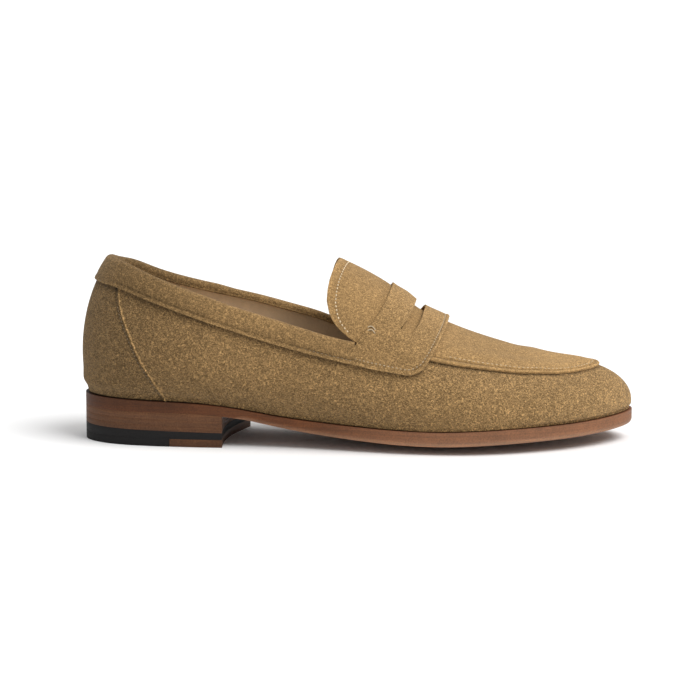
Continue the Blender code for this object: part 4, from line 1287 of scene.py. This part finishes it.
def suede(name, settings, brightness=1.0, contrast=1.0):
    """Short-napped suede: curly fine nap, faint brushed patches and a soft sheen."""
    n = Nodes(name)
    place = n.coordinates()
    scale = 1.0 / settings.nap_size
    curl = n.noise(place, scale, 0.6, 0.5, 1.2)
    worm = n.math("ABSOLUTE", n.math("SUBTRACT", curl, 0.5))
    fibre = n.noise(n.coordinates((1, 1, 1.8), (0, 0.6, 0)), scale * 1.3, 1.2, 0.6, 0.6)
    patch = n.noise(place, 110.0, 3.0, 0.6, 0.3)
    cloud = n.noise(place, 20.0, 2.0, 0.5, 0.2)
    curls = n.remap(worm, 0.0, 0.09, 1 + 0.85 * contrast, 1 - 0.42 * contrast)
    fine = n.remap(fibre, 0.3, 0.7, 1 - 0.42 * contrast, 1 + 0.5 * contrast)
    patches = n.remap(patch, 0.3, 0.7, 0.96, 1.04)
    clouds = n.remap(cloud, 0.3, 0.7, 0.95, 1.05)
    nap = n.product(curls, fine)
    light = n.product(nap, patches, clouds, n.math("ADD", n.tone(), 1.0), brightness)
    colour = n.shade(settings.suede_colour, light)
    normal = n.add("ShaderNodeBump", {"Height": nap, "Strength": 0.7 * contrast, "Distance": 0.0005})
    return n.set(
        Base_Color=colour,
        Roughness=0.95,
        Normal=normal.outputs["Normal"],
        Sheen_Weight=0.2,
        Sheen_Roughness=0.5,
        Sheen_Tint=(1.0, 0.82, 0.58, 1.0),
        Specular_IOR_Level=0.1,
    )


def smooth_leather(name, colour, roughness, scale, depth):
    """Smooth lining leather: fine pores, faint creases and slightly uneven colour."""
    n = Nodes(name)
    place = n.coordinates()
    pores = n.noise(place, scale, 4.0, 0.6)
    patch = n.noise(place, 40.0, 3.0, 0.5, 0.4)
    patches = n.remap(patch, 0.3, 0.7, 0.88, 1.12)
    light = n.product(patches, n.remap(pores, 0.3, 0.7, 0.94, 1.06), n.math("ADD", n.tone(), 1.0))
    normal = n.add("ShaderNodeBump", {"Height": pores, "Strength": depth, "Distance": 0.0003})
    gloss = n.remap(pores, 0.3, 0.7, roughness - 0.06, roughness + 0.1)
    return n.set(Base_Color=n.shade(colour, light), Roughness=gloss, Normal=normal.outputs["Normal"])


# Colour of the painted highlight added on the sole's lower bevel, where the tone is high.
BEVEL_HIGHLIGHT_COLOUR = (0.052, 0.088, 0.076)


def edge_leather(name, colour, scale, brighter=0.0):
    """Cut and burnished leather edge: long horizontal fibres, streaks, and a painted highlight on the
    bevel where the tone is high."""
    n = Nodes(name)
    streak = n.noise(n.coordinates((0.12, 0.12, 4.0)), scale, 4.0, 0.65, 0.3)
    grain = n.noise(n.coordinates(), 1400.0, 2.0, 0.6)
    patch = n.noise(n.coordinates(), 55.0, 2.0, 0.5)
    streaks = n.remap(streak, 0.3, 0.7, 0.76, 1.24)
    specks = n.remap(grain, 0.3, 0.7, 0.72, 1.28)
    patches = n.remap(patch, 0.3, 0.7, 0.88, 1.12)
    light = n.product(streaks, specks, patches, n.math("ADD", n.tone(), 1.0 + brighter))
    # Painted highlight mask: strong where the tone is high, on the sole's lower bevel.
    bevel_highlight = n.product(n.remap(n.tone(), 0.1, 1.6, 0.0, 1.0), n.remap(light, 0.0, 2.0, 0.6, 1.1))
    height = n.math("ADD", streak, n.math("MULTIPLY", grain, 0.5))
    normal = n.add("ShaderNodeBump", {"Height": height, "Strength": 0.25, "Distance": 0.0003})
    mixed = n.add("ShaderNodeVectorMath", {0: n.shade(colour, light), 1: n.shade(BEVEL_HIGHLIGHT_COLOUR, bevel_highlight)})
    return n.set(
        Base_Color=mixed.outputs[0],
        Roughness=n.remap(streak, 0.3, 0.7, 0.5, 0.68),
        Normal=normal.outputs["Normal"],
        Specular_IOR_Level=0.22,
    )


def rubber_material(name):
    """Matt black rubber with a fine moulded grain."""
    n = Nodes(name)
    grain = n.noise(n.coordinates(), 900.0, 3.0, 0.6)
    scuff = n.noise(n.coordinates((0.3, 0.3, 2)), 160.0, 3.0, 0.6)
    light = n.product(n.remap(grain, 0.3, 0.7, 0.8, 1.2), n.remap(scuff, 0.35, 0.75, 0.9, 1.4))
    normal = n.add("ShaderNodeBump", {"Height": grain, "Strength": 0.3, "Distance": 0.0003})
    return n.set(
        Base_Color=n.shade((0.008, 0.0072, 0.0070), light),
        Roughness=n.remap(scuff, 0.3, 0.7, 0.6, 0.78),
        Normal=normal.outputs["Normal"],
        Specular_IOR_Level=0.25,
    )


def thread_material(name, settings, brightness):
    """Waxed thread with a fine twist."""
    n = Nodes(name)
    slanted_place = n.coordinates((1, 1, 1), (0.4, 0.7, 0.3))
    wave = n.add("ShaderNodeTexWave", {"Vector": slanted_place, "Scale": 900.0, "Distortion": 1.0})
    twist = wave.outputs["Fac"]
    patch = n.noise(n.coordinates(), 300.0, 2.0, 0.5)
    light = n.product(n.remap(twist, 0, 1, 0.8, 1.1), n.remap(patch, 0.3, 0.7, 0.8, 1.15), brightness)
    normal = n.add("ShaderNodeBump", {"Height": twist, "Strength": 0.4, "Distance": 0.0002})
    return n.set(
        Base_Color=n.shade(settings.thread_colour, light),
        Roughness=0.75,
        Normal=normal.outputs["Normal"],
    )


def plain_material(name, colour, scale, roughness, metallic):
    """A hidden or small part's material: an even colour with its own grain and wear."""
    n = Nodes(name)
    grain = n.noise(n.coordinates(), scale, 4.0, 0.6)
    light = n.remap(grain, 0.3, 0.7, 0.82, 1.18)
    normal = n.add("ShaderNodeBump", {"Height": grain, "Strength": 0.3, "Distance": 0.0004})
    return n.set(
        Base_Color=n.shade(colour, light),
        Roughness=n.remap(grain, 0.3, 0.7, roughness - 0.08, roughness + 0.08),
        Metallic=metallic,
        Normal=normal.outputs["Normal"],
    )


BRADS = tuple("top_brad_" + str(number) for number in range(1, 6))
# Nodes, name, colour, grain scale, roughness and metallic share.
HIDDEN_MATERIALS = (
    (("insole",), "insole_board", (0.42, 0.28, 0.15), 600.0, 0.85, 0.0),
    (("counter_stiffener", "toe_puff"), "stiffener_board", (0.46, 0.34, 0.2), 500.0, 0.85, 0.0),
    (("cork_filler",), "cork_paste", (0.30, 0.17, 0.08), 350.0, 0.92, 0.0),
    (("heel_pad",), "latex_foam", (0.75, 0.72, 0.66), 900.0, 0.9, 0.0),
    (("shank",), "spring_steel", (0.52, 0.52, 0.53), 200.0, 0.35, 1.0),
    (BRADS, "brad_brass", (0.62, 0.42, 0.16), 300.0, 0.35, 1.0),
)


def dress_frame():
    """Materials for the pieces that keep their own shape: hidden parts and the brads."""
    for nodes, name, colour, scale, roughness, metallic in HIDDEN_MATERIALS:
        material = plain_material(name, colour, scale, roughness, metallic)
        for node in nodes:
            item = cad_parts[node]
            item.data.materials.clear()
            item.data.materials.append(material)


# ---------------------------------------------------------------- studio
CAMERA_DISTANCE = 1.7
CAMERA_AZIMUTH = 2.5
CAMERA_ELEVATION = 9.5
CAMERA_TARGET = (-0.0038, 0.0003, 0.048)
LENS = 162.5
FLOOR_REACH = 12.0


def direction(azimuth, elevation):
    """Unit vector from the shoe towards a camera or light."""
    a, e = np.radians(azimuth), np.radians(elevation)
    return np.array([np.sin(a) * np.cos(e), -np.cos(a) * np.cos(e), np.sin(e)])


def aim(item, target):
    """Turn a camera or light to face a point."""
    item.rotation_euler = (Vector(target) - item.location).to_track_quat("-Z", "Y").to_euler()


def add_sun(name, azimuth, elevation, softness, power):
    """A wide, soft light far away in one direction."""
    light = bpy.data.lights.new(name, "SUN")
    light.angle = np.radians(softness)
    light.energy = power
    item = bpy.data.objects.new(name, light)
    bpy.context.scene.collection.objects.link(item)
    item.location = direction(azimuth, elevation) * 2
    aim(item, (0, 0, 0.04))


def add_floor():
    """A wide white floor under the shoe."""
    mesh = bpy.data.meshes.new("floor")
    corners = [(x * FLOOR_REACH, y * FLOOR_REACH, 0) for x, y in ((-1, -1), (1, -1), (1, 1), (-1, 1))]
    mesh.from_pydata(corners, [], [(0, 1, 2, 3)])
    mesh.materials.append(floor_material())
    floor = bpy.data.objects.new("floor", mesh)
    bpy.context.scene.collection.objects.link(floor)


def white_world(strength):
    """Even white surroundings."""
    world = bpy.data.worlds.new("studio")
    world.use_nodes = True
    background = world.node_tree.nodes["Background"]
    background.inputs["Color"].default_value = (1, 1, 1, 1)
    background.inputs["Strength"].default_value = strength
    return world


def make_stage(settings):
    """Floor, world, lights and camera."""
    scene = bpy.context.scene
    scene.view_settings.view_transform = "Standard"
    add_floor()
    scene.world = white_world(settings.world_light)
    add_sun("key", 62, 55, 40, settings.key_light)
    add_sun("top", 100, 78, 60, settings.key_light * 0.3)
    camera = bpy.data.cameras.new("camera")
    camera.lens = LENS
    camera.sensor_width = 36
    camera.clip_end = 100
    item = bpy.data.objects.new("camera", camera)
    scene.collection.objects.link(item)
    away = direction(CAMERA_AZIMUTH, CAMERA_ELEVATION) * CAMERA_DISTANCE
    item.location = np.array(CAMERA_TARGET) + away
    aim(item, CAMERA_TARGET)
    scene.camera = item


def floor_material():
    """White studio paper with the faintest mottling."""
    n = Nodes("floor_paper")
    fleck = n.noise(n.coordinates(), 30.0, 3.0, 0.6)
    return n.set(Base_Color=n.shade((0.93, 0.93, 0.93), n.remap(fleck, 0, 1, 0.99, 1.01)), Roughness=0.9)


# ---------------------------------------------------------------- the add-on
class LoaferSettings(bpy.types.PropertyGroup):
    """Sizes and colours of the loafer and its studio."""

    suede_colour: bpy.props.FloatVectorProperty(
        name="Suede",
        description="Colour of the suede",
        subtype="COLOR",
        default=(0.298, 0.180, 0.0735),
    )
    lining_colour: bpy.props.FloatVectorProperty(
        name="Lining",
        description="Colour of the lining leather",
        subtype="COLOR",
        default=(0.68, 0.52, 0.35),
    )
    sole_colour: bpy.props.FloatVectorProperty(
        name="Sole",
        description="Colour of the sole's edge",
        subtype="COLOR",
        default=(0.118, 0.040, 0.0135),
    )
    lift_colour: bpy.props.FloatVectorProperty(
        name="Lifts",
        description="Colour of the heel lifts",
        subtype="COLOR",
        default=(0.112, 0.048, 0.021),
    )
    thread_colour: bpy.props.FloatVectorProperty(
        name="Thread",
        description="Colour of the stitching",
        subtype="COLOR",
        default=(0.72, 0.56, 0.36),
    )
    nap_size: bpy.props.FloatProperty(
        name="Nap size",
        description="Size of the suede's curls",
        default=0.0013,
        min=0.0003,
        unit="LENGTH",
    )
    stitch_length: bpy.props.FloatProperty(
        name="Stitch",
        description="Distance from stitch to stitch",
        default=0.0022,
        min=0.001,
        unit="LENGTH",
    )
    key_light: bpy.props.FloatProperty(
        name="Key light", description="Strength of the main light", default=2.4, min=0.0
    )
    world_light: bpy.props.FloatProperty(
        name="World light", description="Strength of the white surroundings", default=0.5, min=0.0
    )


class LOAFER_OT_frame(bpy.types.Operator):
    """Give the hidden parts and the brads their materials"""

    bl_idname = "loafer.frame"
    bl_label = "Hidden parts"

    def execute(self, context):
        dress_frame()
        return {"FINISHED"}


class LOAFER_OT_sole(bpy.types.Operator):
    """Add the leather sole"""

    bl_idname = "loafer.sole"
    bl_label = "Sole"

    def execute(self, context):
        make_sole(context.scene.loafer)
        return {"FINISHED"}


class LOAFER_OT_heel(bpy.types.Operator):
    """Add the stacked heel"""

    bl_idname = "loafer.heel"
    bl_label = "Heel"

    def execute(self, context):
        make_heel(context.scene.loafer)
        return {"FINISHED"}


class LOAFER_OT_footbed(bpy.types.Operator):
    """Add the sock liner"""

    bl_idname = "loafer.footbed"
    bl_label = "Footbed"

    def execute(self, context):
        make_footbed(context.scene.loafer)
        return {"FINISHED"}


class LOAFER_OT_linings(bpy.types.Operator):
    """Add the linings"""

    bl_idname = "loafer.linings"
    bl_label = "Linings"

    def execute(self, context):
        make_linings(context.scene.loafer)
        return {"FINISHED"}


class LOAFER_OT_wall(bpy.types.Operator):
    """Add the lower wall"""

    bl_idname = "loafer.wall"
    bl_label = "Wall"

    def execute(self, context):
        make_wall(context.scene.loafer)
        return {"FINISHED"}


class LOAFER_OT_counter(bpy.types.Operator):
    """Add the counter cover"""

    bl_idname = "loafer.counter"
    bl_label = "Counter"

    def execute(self, context):
        make_counter(context.scene.loafer)
        return {"FINISHED"}


class LOAFER_OT_apron(bpy.types.Operator):
    """Add the apron"""

    bl_idname = "loafer.apron"
    bl_label = "Apron"

    def execute(self, context):
        make_apron(context.scene.loafer)
        return {"FINISHED"}


class LOAFER_OT_tongue(bpy.types.Operator):
    """Add the tongue"""

    bl_idname = "loafer.tongue"
    bl_label = "Tongue"

    def execute(self, context):
        make_tongue(context.scene.loafer)
        return {"FINISHED"}


class LOAFER_OT_saddle(bpy.types.Operator):
    """Add the saddle and collar"""

    bl_idname = "loafer.saddle"
    bl_label = "Saddle"

    def execute(self, context):
        make_saddle(context.scene.loafer)
        return {"FINISHED"}


class LOAFER_OT_stitches(bpy.types.Operator):
    """Add the stitching"""

    bl_idname = "loafer.stitches"
    bl_label = "Stitches"

    def execute(self, context):
        make_stitches(context.scene.loafer)
        return {"FINISHED"}


class LOAFER_OT_stage(bpy.types.Operator):
    """Add floor, lights and camera"""

    bl_idname = "loafer.stage"
    bl_label = "Studio"

    def execute(self, context):
        make_stage(context.scene.loafer)
        return {"FINISHED"}


OPERATORS = (
    LOAFER_OT_frame,
    LOAFER_OT_sole,
    LOAFER_OT_heel,
    LOAFER_OT_footbed,
    LOAFER_OT_linings,
    LOAFER_OT_wall,
    LOAFER_OT_counter,
    LOAFER_OT_apron,
    LOAFER_OT_tongue,
    LOAFER_OT_saddle,
    LOAFER_OT_stitches,
    LOAFER_OT_stage,
)


class LOAFER_PT_panel(bpy.types.Panel):
    """Lists the loafer's settings and the steps that build it"""

    bl_label = "Penny Loafer"
    bl_space_type = "VIEW_3D"
    bl_region_type = "UI"
    bl_category = "Loafer"

    def draw(self, context):
        for name in LoaferSettings.__annotations__:
            self.layout.prop(context.scene.loafer, name)
        for operator in OPERATORS:
            self.layout.operator(operator.bl_idname)


CLASSES = (LoaferSettings, *OPERATORS, LOAFER_PT_panel)


def register():
    for item in CLASSES:
        bpy.utils.register_class(item)
    bpy.types.Scene.loafer = bpy.props.PointerProperty(type=LoaferSettings)


def unregister():
    del bpy.types.Scene.loafer
    for item in reversed(CLASSES):
        bpy.utils.unregister_class(item)


def main():
    """Register the add-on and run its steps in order."""
    register()
    for operator in OPERATORS:
        getattr(bpy.ops.loafer, operator.bl_idname.split(".")[1])()


if __name__ == "__main__":
    main()
